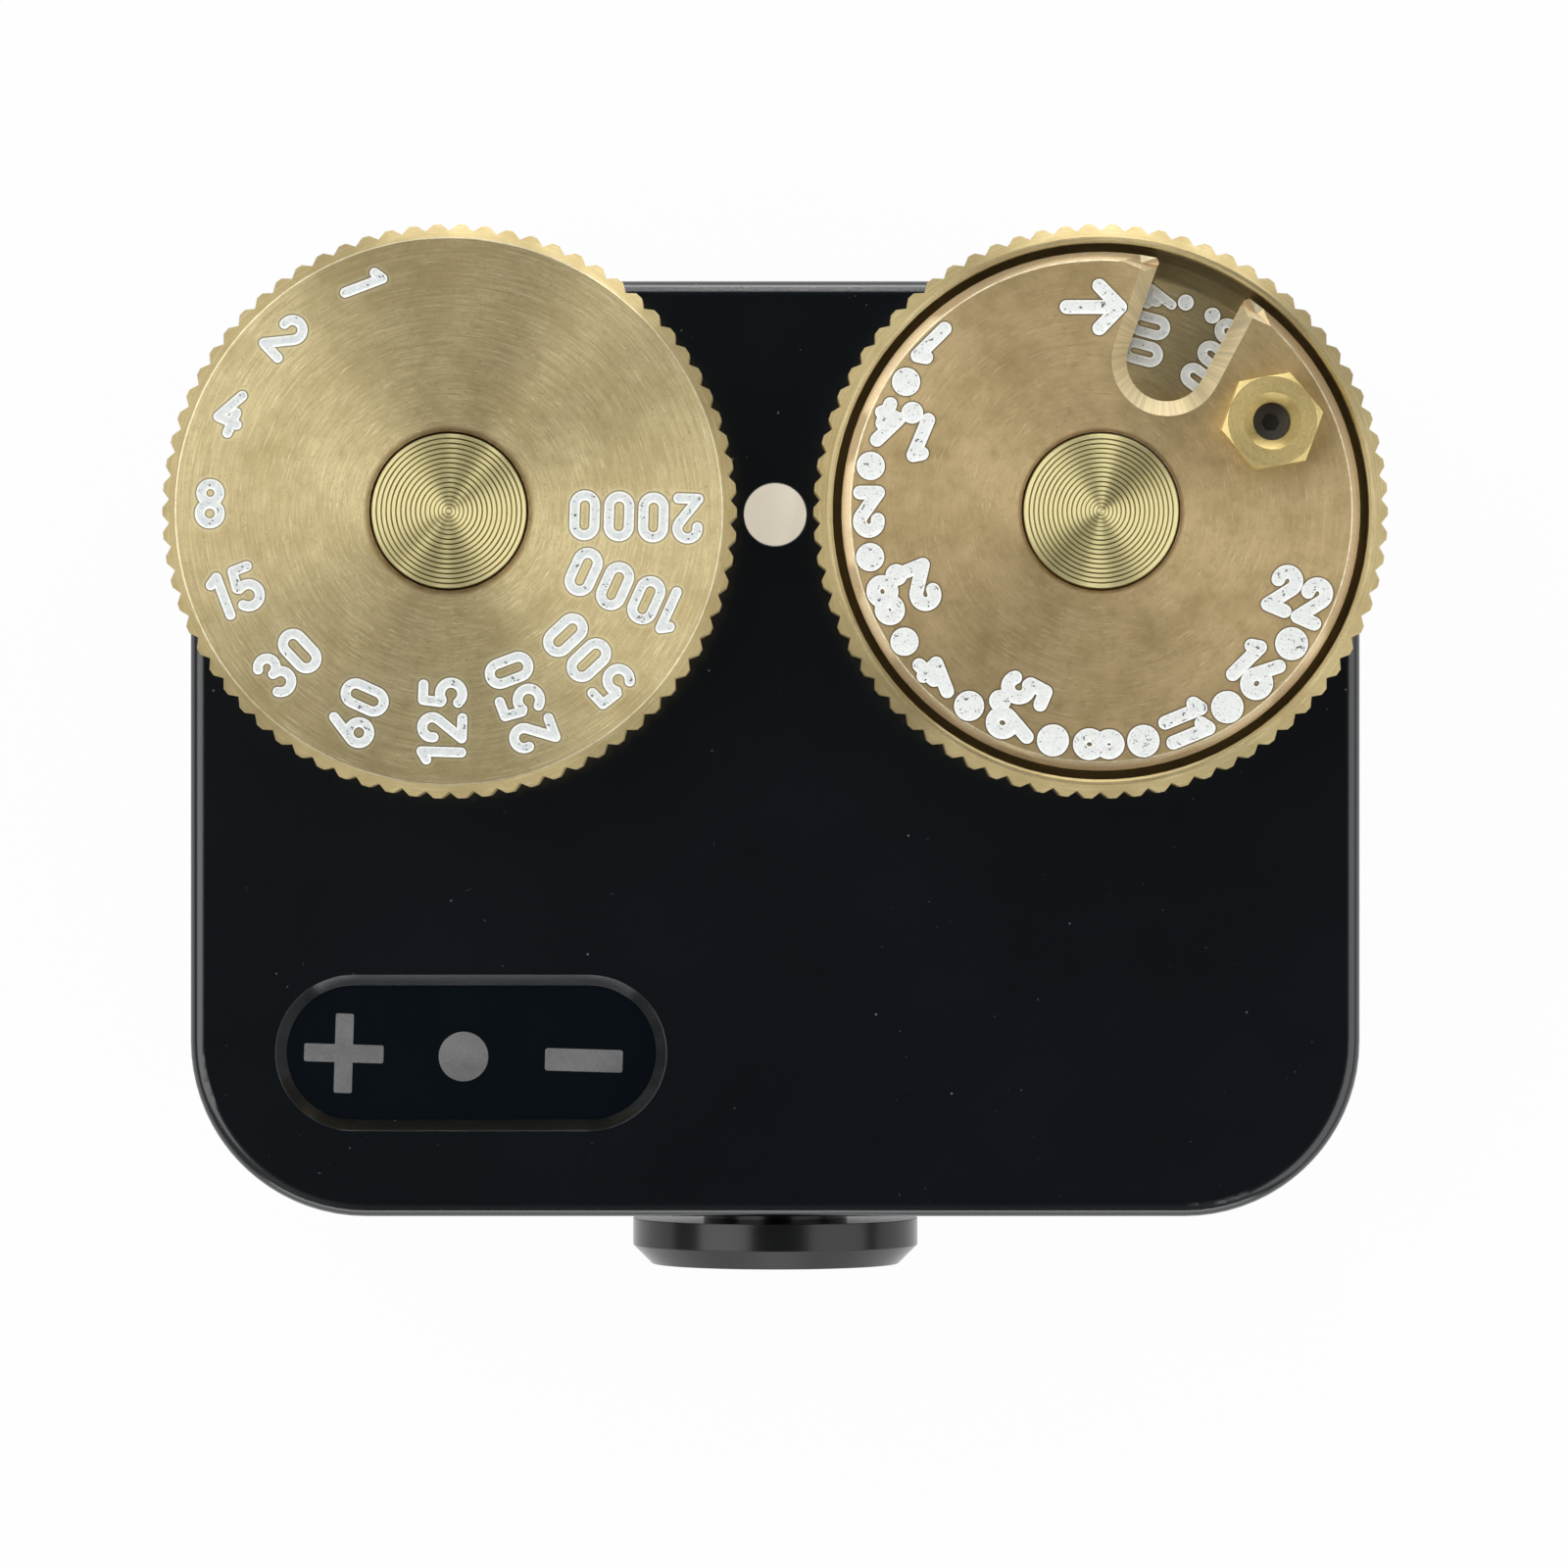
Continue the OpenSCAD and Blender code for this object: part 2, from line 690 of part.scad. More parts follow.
module button_clip() {
    mouth = 1.2 * (stem_r - clip_groove);
    color(steel) difference() {
        along_y(clip_y, clip_y + clip_t, clip_r);
        along_y(clip_y - cut, clip_y + clip_t + cut, stem_r - clip_groove + fit_clear);
        translate([-mouth / 2, clip_y - cut, middle_z]) cube([mouth, clip_t + 2 * cut, 2 * clip_r]);
    }
}

module switch_plunger() {
    color("firebrick") along_y(stem_end, stem_end + plunger_l, plunger_r - 2 * run_clear);
}

module sensor_bezel() {
    color(black) difference() {
        union() {
            along_y(front_inside, front_face, bezel_r);
            along_y(bezel_end, front_inside, bezel_r + bush_flange_w);
        }
        translate([0, bezel_lip_y, middle_z]) rotate([-90, 0, 0])
            cylinder(h = 1.25 * (front_face - bezel_lip_y), r1 = lens_dome_base_r + run_clear,
                     r2 = bezel_mouth_r + (bezel_mouth_r - lens_dome_base_r) / 4);
        along_y(bezel_end - cut, front_face, lens_dome_base_r + run_clear);
        along_y(bezel_end - cut, lens_seat_y, lens_r + fit_clear);
    }
}

module sensor_lens() {
    dome_centre = lens_seat_y - sqrt(pow(lens_ball_r, 2) - pow(lens_dome_base_r, 2));
    color("lightblue") {
        along_y(lens_seat_y - lens_t, lens_seat_y, lens_r);
        intersection() {
            translate([0, dome_centre, middle_z]) sphere(r = lens_ball_r);
            along_y(lens_seat_y - lens_t / 2, front_face, lens_r);
            translate([-lens_r, lens_seat_y - lens_t / 2, middle_z - lens_r]) cube(2 * lens_r);
        }
    }
}

module photodiode() {
    half = photodiode_side / 2;
    color("dimgray") translate([-half, front_notch_y + run_clear, middle_z - half])
        cube([photodiode_side, photodiode_t, photodiode_side]);
}

// The threaded bushing that carries a spindle in the top plate
module bushing() {
    nut_top = case_top + panel_nut_t;
    color(pale_brass) difference() {
        union() {
            translate([0, 0, ceiling - bushing_flange_t])
                cylinder(h = bushing_flange_t, r = bushing_flange_r);
            translate([0, 0, ceiling]) cylinder(h = nut_top - ceiling, r = bushing_r);
        }
        translate([0, 0, ceiling - bushing_flange_t - cut])
            cylinder(h = nut_top - ceiling + bushing_flange_t + 2 * cut, r = spindle_r + run_clear);
    }
}

// The round panel nut, with two slots for its spanner
module panel_nut() {
    slot = 0.8;
    color(steel) translate([0, 0, case_top]) difference() {
        ring(panel_nut_r, bushing_r + fit_clear, panel_nut_t);
        for (s = [-1, 1]) translate([s * panel_nut_r - slot, -slot / 2, panel_nut_t / 2])
            cube([2 * slot, slot, panel_nut_t]);
    }
}

// The fixed housing of a rotary sensor, open round its rotor
module encoder() {
    floor_t = (encoder_h - rotor_h) / 2;
    color(dark_plastic) translate([0, 0, board_top]) difference() {
        translate([-encoder_side / 2, -encoder_side / 2, 0])
            cube([encoder_side, encoder_side, encoder_h]);
        translate([0, 0, floor_t]) cylinder(h = rotor_h, r = rotor_r + run_clear);
        translate([0, 0, -cut]) cylinder(h = encoder_h + 2 * cut, r = spindle_r + run_clear);
    }
}

module rotor() {
    floor_t = (encoder_h - rotor_h) / 2;
    color("white") translate([0, 0, board_top + floor_t + run_clear]) difference() {
        cylinder(h = rotor_h - 2 * run_clear, r = rotor_r);
        translate([0, 0, -cut]) d_shaft(spindle_r + fit_clear, rotor_h + 2 * cut);
    }
}

// A spindle: a D below for the rotor, a round journal, and a D above for the dial
module spindle() {
    foot = board_z0 - plate_clear;
    journal = board_top + encoder_h;
    shoulder = recess_top;
    end = cap_z0 - 2 * plate_clear;
    color(steel) difference() {
        union() {
            translate([0, 0, foot]) d_shaft(spindle_r, journal - foot + fit_clear);
            translate([0, 0, journal]) cylinder(h = shoulder - journal, r = spindle_r);
            translate([0, 0, shoulder - fit_clear]) d_shaft(spigot_r, end - shoulder + fit_clear);
        }
        translate([0, 0, cap_z0 - cap_screw_l - plate_clear])
            cylinder(h = cap_screw_l + cut, r = cap_screw_r + fit_clear);
    }
}

// A centre cap with the screw under it
module centre_cap() {
    edge = 0.12;
    color(pale_brass) {
        translate([0, 0, cap_z0]) rotate_extrude() polygon([
            [0, 0], [cap_r, 0], [cap_r, cap_t - edge], [cap_r - edge, cap_t], [0, cap_t]
        ]);
        translate([0, 0, cap_z0 - cap_screw_l]) cylinder(h = cap_screw_l, r = cap_screw_r);
    }
}

// Knurled teeth with straight flanks and blunt crests
module knurled_outline() {
    half_crest = knurl_crest / 2;
    // Place round the dial, in teeth, and radius of one tooth's three corners
    tooth = [[-0.5, knurl_r - knurl_depth], [-half_crest, knurl_r], [half_crest, knurl_r]];
    polygon([
        for (i = [0 : knurl_teeth - 1], p = tooth)
            let (a = 360 * (i + p[0]) / knurl_teeth) p[1] * [cos(a), sin(a)]
    ]);
}

// A knurled blank with both edges bevelled and a hollow below for the panel nut
module dial_blank() {
    spare = 0.2;
    face_r = knurl_r - rim_bevel;
    foot_r = knurl_r - dial_foot_bevel;
    difference() {
        intersection() {
            translate([0, 0, dial_z0]) linear_extrude(dial_h) knurled_outline();
            translate([0, 0, dial_z0]) rotate_extrude() polygon([
                [0, 0], [foot_r, 0], [knurl_r + spare, dial_foot_bevel + spare],
                [knurl_r + spare, dial_h - rim_bevel - spare], [face_r, dial_h], [0, dial_h]
            ]);
        }
        translate([0, 0, dial_z0 - cut]) cylinder(h = dial_recess_h + cut, r = dial_recess_r);
        translate([0, 0, dial_z0]) d_shaft(spigot_r + fit_clear, dial_h + cut);
    }
}

module shutter_dial_solid() {
    color(brass) difference() {
        dial_blank();
        translate([0, 0, cap_z0]) cylinder(h = cap_t + cut, r = cap_r + run_clear);
    }
}

// The aperture ring is a cup: its rim stands round the disc, and a seat in its middle carries the disc
module aperture_ring_solid() {
    washer_seat = disc_z0 - fit_clear - washer_t;
    color(brass) difference() {
        dial_blank();
        difference() {
            translate([0, 0, cup_floor]) rotate_extrude() polygon([
                [0, 0], [cup_r, 0], [cup_r, cup_depth - cup_bevel],
                [cup_r + cup_bevel + cut, cup_depth + cut], [0, cup_depth + cut]
            ]);
            translate([0, 0, cup_floor - cut]) cylinder(h = cap_z0 - cup_floor + cut, r = pivot_r);
        }
        translate([0, 0, washer_seat]) ring(washer_r + fit_clear, pivot_r, cup_floor - washer_seat + cut);
    }
}

module washer_solid() {
    color(steel) translate([0, 0, disc_z0 - fit_clear - washer_t])
        ring(washer_r, pivot_r + run_clear, washer_t);
}

// Outline of the notch, along +X: a round end, flared sides and blunted corners at its mouth
module notch_outline() {
    from_x = notch_reach - notch_r * sin(notch_flare);
    blunt_x = disc_r - notch_blunt;
    past_x = disc_r + cut;
    // Half widths at those three places
    from = notch_r * cos(notch_flare);
    blunt = from + (blunt_x - from_x) * tan(notch_flare);
    past = blunt + notch_blunt + cut;
    translate([notch_reach, 0]) circle(r = notch_r);
    polygon([
        [from_x, -from], [blunt_x, -blunt], [past_x, -past],
        [past_x, past], [blunt_x, blunt], [from_x, from]
    ]);
}

// The bevel round the notch: a cone at its round end, a slope along each side,
// and a flat slope across its mouth
module notch_bevel_cut() {
    rise = notch_bevel + cut;
    reach = disc_r + notch_mouth;
    translate([notch_reach, 0, dial_top - notch_bevel]) {
        cylinder(h = rise, r1 = notch_r, r2 = notch_r + rise);
        for (side = [0, 1])
            mirror([0, side, 0]) rotate([0, 0, notch_flare]) rotate([90, 0, 90])
                linear_extrude(disc_r)
                    polygon([[0, 0], [notch_r, 0], [notch_r + rise, rise], [0, rise]]);
    }
    translate([disc_r - notch_mouth, 0, dial_top]) rotate([90, 0, 0])
        linear_extrude(disc_r, center = true) polygon([[-cut, cut], [reach, -reach], [reach, cut]]);
}

module aperture_disc_solid() {
    thick = dial_top - disc_z0;
    color(brass) difference() {
        translate([0, 0, disc_z0]) rotate_extrude() polygon([
            [0, 0], [disc_r, 0], [disc_r, thick - disc_bevel], [disc_r - disc_bevel, thick], [0, thick]
        ]);
        translate([0, 0, disc_z0 - cut]) cylinder(h = thick + 2 * cut, r = pivot_r + run_clear);
        translate([0, 0, ledge_top]) cylinder(h = thick, r = cap_r + run_clear);
        rotate([0, 0, notch_angle]) {
            translate([0, 0, disc_z0 - cut]) linear_extrude(thick + 2 * cut) notch_outline();
            notch_bevel_cut();
        }
        rotate([0, 0, post_angle]) translate([post_reach, 0, disc_z0 - cut])
            cylinder(h = thick + 2 * cut, r = post_shank_r + fit_clear);
    }
}

module shutter_bushing() { translate(shutter_place) bushing(); }
module shutter_nut() { translate(shutter_place) panel_nut(); }
module shutter_encoder() { translate(shutter_place) encoder(); }
module shutter_dial() { translate(shutter_place) shutter_dial_solid(); }
module shutter_cap() { translate(shutter_place) centre_cap(); }
module shutter_spindle() { translate(shutter_place) spindle(); }
module shutter_rotor() { translate(shutter_place) rotor(); }
module aperture_bushing() { translate(aperture_place) bushing(); }
module aperture_nut() { translate(aperture_place) panel_nut(); }
module aperture_encoder() { translate(aperture_place) encoder(); }
module aperture_ring() { translate(aperture_place) aperture_ring_solid(); }
module aperture_cap() { translate(aperture_place) centre_cap(); }
module aperture_spindle() { translate(aperture_place) spindle(); }
module aperture_rotor() { translate(aperture_place) rotor(); }
module friction_washer() { translate(aperture_place) washer_solid(); }
module aperture_disc() { translate(aperture_place) aperture_disc_solid(); }

// The hexagonal post that the disc is turned by, pressed into the disc
module speed_post() {
    corner_r = post_flats / 2 / cos(30);
    top_r = post_flats / 2;
    color(brass) translate(post_place) difference() {
        union() {
            intersection() {
                translate([0, 0, dial_top]) rotate([0, 0, post_turn])
                    cylinder(h = post_h, r = corner_r, $fn = 6);
                translate([0, 0, dial_top]) cylinder(h = post_h, r1 = top_r + 2 * post_h, r2 = top_r);
            }
            translate([0, 0, disc_z0 + fit_clear])
                cylinder(h = dial_top - disc_z0, r = post_shank_r);
        }
        translate([0, 0, disc_z0 - cut])
            cylinder(h = dial_top - disc_z0 + post_h + 2 * cut, r = post_bore_r);
        translate([0, 0, dial_top + post_h - post_bore_r / 2])
            cylinder(h = post_bore_r, r1 = post_bore_r, r2 = 2 * post_bore_r);
    }
}

// The black set screw in the post's bore
module speed_set_screw() {
    top = dial_top + post_h - set_screw_depth;
    foot = disc_z0 + 2 * fit_clear;
    color(dark_plastic) translate(post_place) difference() {
        translate([0, 0, foot]) cylinder(h = top - foot, r = post_bore_r - fit_clear);
        translate([0, 0, top - post_bore_r / 2]) cylinder(h = post_bore_r, r = post_bore_r / 2, $fn = 6);
    }
}

case_shell();
base_plate();
base_screws();
shoe_foot();
foot_screws();
index_dot();
led_window();
led_mask();
indicator_leds();
circuit_board();
controller_chip();
small_components();
battery_tray();
battery_cell();
cell_spring();
rim_spring();
tact_switch();
button_bush();
sensor_bezel();
sensor_lens();
photodiode();
shutter_bushing();
shutter_nut();
shutter_encoder();
aperture_bushing();
aperture_nut();
aperture_encoder();
shutter_dial();
shutter_cap();
shutter_spindle();
shutter_rotor();
aperture_ring();
aperture_cap();
aperture_spindle();
aperture_rotor();
friction_washer();
aperture_disc();
speed_post();
speed_set_screw();
button_cap();
button_clip();
switch_plunger();
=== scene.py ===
import json
import math

import bmesh
import bpy
import numpy as np
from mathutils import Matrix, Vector
from mathutils.geometry import delaunay_2d_cdt

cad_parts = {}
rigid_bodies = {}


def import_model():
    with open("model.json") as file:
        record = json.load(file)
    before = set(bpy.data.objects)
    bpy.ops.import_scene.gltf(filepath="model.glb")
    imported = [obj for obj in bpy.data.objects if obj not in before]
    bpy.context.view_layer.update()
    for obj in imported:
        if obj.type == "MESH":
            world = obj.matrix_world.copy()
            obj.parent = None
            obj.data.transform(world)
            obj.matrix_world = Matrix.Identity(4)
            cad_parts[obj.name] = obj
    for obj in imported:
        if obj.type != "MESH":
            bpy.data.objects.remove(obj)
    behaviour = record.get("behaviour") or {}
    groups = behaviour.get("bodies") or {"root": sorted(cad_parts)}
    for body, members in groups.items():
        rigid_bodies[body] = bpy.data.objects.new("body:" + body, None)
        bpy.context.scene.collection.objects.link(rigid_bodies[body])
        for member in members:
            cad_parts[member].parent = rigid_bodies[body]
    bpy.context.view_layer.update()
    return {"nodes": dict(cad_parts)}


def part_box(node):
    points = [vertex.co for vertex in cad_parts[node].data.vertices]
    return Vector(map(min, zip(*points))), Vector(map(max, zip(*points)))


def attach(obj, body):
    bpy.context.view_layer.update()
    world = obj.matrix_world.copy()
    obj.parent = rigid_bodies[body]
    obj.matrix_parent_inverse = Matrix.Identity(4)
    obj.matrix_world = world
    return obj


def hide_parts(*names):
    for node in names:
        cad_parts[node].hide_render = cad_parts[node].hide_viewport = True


for leftover in list(bpy.data.objects):
    bpy.data.objects.remove(leftover)
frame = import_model()
nodes = frame["nodes"]
MM = 0.001

# Places and sizes on the object, in millimetres
LEFT_DIAL = (-11.0, 8.0)
RIGHT_DIAL = (11.0, 8.0)
POST = (16.689, 10.974)
DIAL_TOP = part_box("shutter_dial")[1].z / MM
DISC_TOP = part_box("aperture_disc")[1].z / MM
GLASS_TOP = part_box("led_window")[1].z / MM
CUP_FLOOR = 17.9
DIAL_EDGE, DISC_EDGE, GAP_R = 9.25, 8.49, 8.76
CAP_R, CAP_T, CAP_SCREW_R = 2.64, 0.9, 0.6
# The notch's milled bevel fades out between these radii, just inside the disc's edge
BEVEL_IN, BEVEL_OUT = DISC_EDGE - 0.07, DISC_EDGE - 0.02
# Painted shade round a cap fades out between two radii. Painted shade with some grime in the cup,
# on the post and in the caps' grooves lies below a height
LEFT_CAP_SHADE, RIGHT_CAP_SHADE = (2.72, 2.95), (2.70, 2.86)
CUP_SHADE_TOP, POST_SHADE_TOP, GROOVE_SHADE_TOP = 18.75, 19.0, DIAL_TOP - 0.004

# The photo's middle pixel lies over this place, at this many pixels to a millimetre of the plate
VIEW_MIDDLE = (0.302, -1.207)
PHOTO_MIDDLE, PLATE_PIXELS = 800, 29.85
# Middles of the three signs in the photo
PLUS_PIXEL, DOT_PIXEL, MINUS_PIXEL = (350.5, 1075.0), (472.7, 1078.3), (595.6, 1082.2)


# Places
def local(centre, turn, x, y):
    """The place (x, y) of axes that stand at centre and are turned by turn degrees."""
    c, s = math.cos(math.radians(turn)), math.sin(math.radians(turn))
    return centre[0] + c * x - s * y, centre[1] + s * x + c * y


def at(centre, radius, angle):
    """The place at a radius and an angle in degrees round a centre."""
    return (centre[0] + radius * math.cos(math.radians(angle)),
            centre[1] + radius * math.sin(math.radians(angle)))


def ring(radius, steps):
    """Places evenly round a circle about zero."""
    return [(radius * math.cos(math.tau * k / steps), radius * math.sin(math.tau * k / steps))
            for k in range(steps)]


def photo_xy(pixel):
    """Place on the plate of a pixel of the photograph."""
    return (VIEW_MIDDLE[0] + (pixel[0] - PHOTO_MIDDLE) / PLATE_PIXELS,
            VIEW_MIDDLE[1] - (pixel[1] - PHOTO_MIDDLE) / PLATE_PIXELS)


# Node materials
def rgb(r, g, b):
    """A colour given in 0-255 sRGB as a linear one."""
    return tuple(v / 12.92 if v <= 0.04045 else ((v + 0.055) / 1.055) ** 2.4
                 for v in (r / 255, g / 255, b / 255)) + (1.0,)


def scaled(colour, factor):
    """A colour made lighter or darker, with no channel above 1."""
    return tuple(min(1.0, v * factor) for v in colour[:3]) + (1.0,)


class Nodes:
    """Short calls that add nodes to a node tree. A value is a number, a colour or a socket."""

    def __init__(self, tree):
        self.tree = tree
        self.tree.nodes.clear()

    def add(self, kind, **props):
        node = self.tree.nodes.new(kind)
        for key, value in props.items():
            setattr(node, key, value)
        return node

    def feed(self, socket, value):
        if isinstance(value, bpy.types.NodeSocket):
            self.tree.links.new(value, socket)
        else:
            socket.default_value = value

    def math(self, op, a, b=0.0):
        node = self.add("ShaderNodeMath", operation=op)
        self.feed(node.inputs[0], a)
        self.feed(node.inputs[1], b)
        return node.outputs[0]

    def times(self, a, b):
        return self.math("MULTIPLY", a, b)

    def plus(self, a, b):
        return self.math("ADD", a, b)

    def weigh(self, *pairs):
        """The sum of values, each times its share."""
        total = self.times(*pairs[0])
        for value, share in pairs[1:]:
            total = self.plus(total, self.times(value, share))
        return total

    def vmath(self, op, a, b=None, scale=None):
        node = self.add("ShaderNodeVectorMath", operation=op)
        self.feed(node.inputs[0], a)
        if b is not None:
            self.feed(node.inputs[1], b)
        if scale is not None:
            self.feed(node.inputs["Scale"], scale)
        return node.outputs[0]

    def xyz(self, x, y, z):
        node = self.add("ShaderNodeCombineXYZ")
        for i, value in enumerate((x, y, z)):
            self.feed(node.inputs[i], value)
        return node.outputs[0]

    def split(self, vector):
        node = self.add("ShaderNodeSeparateXYZ")
        self.feed(node.inputs[0], vector)
        return node.outputs

    def noise(self, vector, scale, detail=2.0, roughness=0.5):
        node = self.add("ShaderNodeTexNoise")
        self.feed(node.inputs["Vector"], vector)
        for key, value in (("Scale", scale), ("Detail", detail), ("Roughness", roughness)):
            node.inputs[key].default_value = value
        return node.outputs["Fac"]

    def cells(self, vector, scale):
        node = self.add("ShaderNodeTexVoronoi")
        self.feed(node.inputs["Vector"], vector)
        node.inputs["Scale"].default_value = scale
        return node.outputs

    def span(self, value, low, high, to_low=0.0, to_high=1.0, smooth=False):
        """Runs from to_low, where the value is low, to to_high, where it is high."""
        node = self.add("ShaderNodeMapRange", clamp=True,
                        interpolation_type="SMOOTHSTEP" if smooth else "LINEAR")
        for i, v in enumerate((value, low, high, to_low, to_high)):
            self.feed(node.inputs[i], v)
        return node.outputs[0]

    def mix(self, share, a, b):
        """Two colours mixed: a where the share is 0, b where it is 1."""
        node = self.add("ShaderNodeMix", data_type="RGBA", blend_type="MIX")
        for i, value in ((0, share), (6, a), (7, b)):
            self.feed(node.inputs[i], value)
        return node.outputs[2]

    def blend(self, share, a, b):
        """Two shaders mixed: a where the share is 0, b where it is 1."""
        node = self.add("ShaderNodeMixShader")
        for i, value in enumerate((share, a, b)):
            self.feed(node.inputs[i], value)
        return node.outputs[0]

    def bump(self, height, strength, distance, normal=None):
        """A bumped normal, its depth given in millimetres."""
        node = self.add("ShaderNodeBump")
        self.feed(node.inputs["Height"], height)
        node.inputs["Strength"].default_value = strength
        node.inputs["Distance"].default_value = distance * MM
        if normal:
            self.feed(node.inputs["Normal"], normal)
        return node.outputs[0]


class Shader(Nodes):
    """A material with one Principled shader. Its mm is the place on the object in millimetres."""

    def __init__(self, name, **sockets):
        self.mat = bpy.data.materials.new(name)
        self.mat.use_nodes = True
        super().__init__(self.mat.node_tree)
        out = self.add("ShaderNodeOutputMaterial")
        self.bsdf = self.add("ShaderNodeBsdfPrincipled")
        self.feed(out.inputs[0], self.bsdf.outputs[0])
        for key, value in sockets.items():
            self.set(key.replace("_", " "), value)
        place = self.add("ShaderNodeTexCoord").outputs["Object"]
        self.mm = self.vmath("SCALE", place, scale=1 / MM)

    def set(self, name, value):
        self.feed(self.bsdf.inputs[name], value)

    def mark(self):
        """Distance from the painted marks in millimetres, below 0 inside them."""
        return self.add("ShaderNodeAttribute", attribute_name="mark").outputs["Fac"]


# How far up a normal points on a flat face, and on a bevel or wall
FLAT, SLOPED = 0.92, 0.88
# Painted highlights: glints along the streaks, and a line on the crests between flat faces and
# bevels
GLINT, CREST_HIGHLIGHT = rgb(255, 244, 208), rgb(255, 246, 214)
# Painted shade round a cap, and how much of it
CAP_SHADE, CAP_SHADE_SHARE = rgb(112, 74, 24), 0.82
# A pale halo round the painted marks, and a painted shadow at their edge
MARK_HALO, MARK_EDGE_SHADOW = rgb(240, 228, 184), rgb(88, 74, 50)
DUST = rgb(120, 124, 128)
# Lathe streaks: how fine they are along the turn and across it
LONG_LANES, SHORT_LANES, HAIRLINES = (1.8, 9.0), (8.0, 20.0), (4.5, 36.0)
# How much rougher than the turned faces the milled bevel is
MILLED_ROUGHER = 0.34


class Turned(Shader):
    """Turned metal: lathe streaks round a vertical axis, and the fan of light they make."""

    def __init__(self, name, centre, base, dark, streak, mottle):
        super().__init__(name, Metallic=1.0)
        self.place = self.vmath("SUBTRACT", self.mm, (*centre, 0.0))
        self.x, self.y, self.z = self.split(self.place)
        self.r = self.math("SQRT", self.plus(self.times(self.x, self.x),
                                             self.times(self.y, self.y)))
        short_lanes = self.lanes(*SHORT_LANES)
        self.tone = self.weigh((self.lanes(*LONG_LANES), 0.22), (short_lanes, 0.38),
                               (self.lanes(*HAIRLINES), 0.40))
        self.blot = self.noise(self.place, 0.42, 4.0, 0.6)
        self.grain = self.noise(self.place, 3.0, 3.0, 0.65)
        self.speck = self.noise(self.place, 13.0, 2.0, 0.6)
        self.level = self.split(self.add("ShaderNodeNewGeometry").outputs["True Normal"])[2]
        self.colour = scaled(base, 1.12)
        self.tint(self.span(self.tone, 0.60, 0.40, 0.0, 0.5 * streak), dark)
        self.tint(self.span(self.blot, 0.42, 0.66, 0.0, mottle), dark)
        self.tint(self.span(self.grain, 0.50, 0.72, 0.0, 0.5 * mottle), dark)
        self.tint(self.span(self.speck, 0.60, 0.70, 0.0, 0.55 * streak), dark)
        self.tint(self.times(self.span(short_lanes, 0.61, 0.68),
                             self.span(self.grain, 0.40, 0.60, 0.0, 0.6 * streak)), GLINT)

    def lanes(self, along, across):
        """Noise drawn out round the axis, of a fineness along the turn and one across it."""
        safe = self.math("MAXIMUM", self.r, 0.001)
        circle_x = self.times(self.math("DIVIDE", self.x, safe), along)
        circle_y = self.times(self.math("DIVIDE", self.y, safe), along)
        height = self.plus(self.times(self.r, across), self.z)
        return self.noise(self.xyz(circle_x, circle_y, height), 1.0, 2.0, 0.6)

    def tint(self, share, colour):
        self.colour = self.mix(share, self.colour, colour)

    def shaded_ring(self, inner, outer):
        """Painted shade round the cap, which fades out between two radii."""
        fade = self.span(self.r, inner, outer, CAP_SHADE_SHARE, 0.0, smooth=True)
        self.tint(self.times(fade, self.span(self.grain, 0.35, 0.65, 1.0, 0.75)), CAP_SHADE)

    def slopes(self, colour, share):
        """Painted light and shade in a tone on bevels and walls, and a painted highlight on the
        crests where they meet a flat face.
        """
        tilted = self.span(self.level, FLAT, SLOPED, 0.0, share)
        self.tint(self.times(tilted, self.span(self.speck, 0.30, 0.60, 1.0, 0.7)), colour)
        crown = self.times(self.span(self.level, 0.99, 0.975), self.span(self.level, FLAT, 0.94))
        self.tint(self.times(crown, self.span(self.grain, 0.35, 0.6, 0.9, 0.45)), CREST_HIGHLIGHT)

    def milled_notch_highlight(self, middle, colour):
        """A painted highlight on the notch's bevel, streaked by a mill's cuts that run away from
        its middle.
        """
        away = self.vmath("SUBTRACT", self.place, (*middle, 0.0))
        spoke = self.vmath("NORMALIZE", self.vmath("MULTIPLY", away, (1.0, 1.0, 0.0)))
        cuts = self.span(self.noise(spoke, 16.0, 3.0, 0.7), 0.35, 0.62)
        milled = self.times(self.span(self.level, FLAT, SLOPED),
                            self.span(self.r, BEVEL_OUT, BEVEL_IN))
        self.tint(milled, self.mix(cuts, colour, scaled(colour, 0.84)))
        return milled

    def shade_and_grime_below(self, height, colour, share, gap):
        """Painted shade with some grime below a height, and more painted shade beyond the radius
        gap.
        """
        deep = self.span(self.z, height, height - 0.04)
        self.tint(self.times(deep, self.span(self.blot, 0.35, 0.65, share, 0.7 * share)), colour)
        if gap:
            self.tint(self.times(deep, self.span(self.r, gap - 0.06, gap, 0.0, 0.3)), colour)

    def round_marks(self, halo, outline):
        """A pale halo round painted marks, and a painted shadow as a dark outline at their edge,
        each of a given strength.
        """
        near = self.mark()
        self.tint(self.span(near, 0.03, 0.19, halo, 0.0, smooth=True), MARK_HALO)
        self.tint(self.span(near, 0.025, 0.06, outline, 0.0), MARK_EDGE_SHADOW)

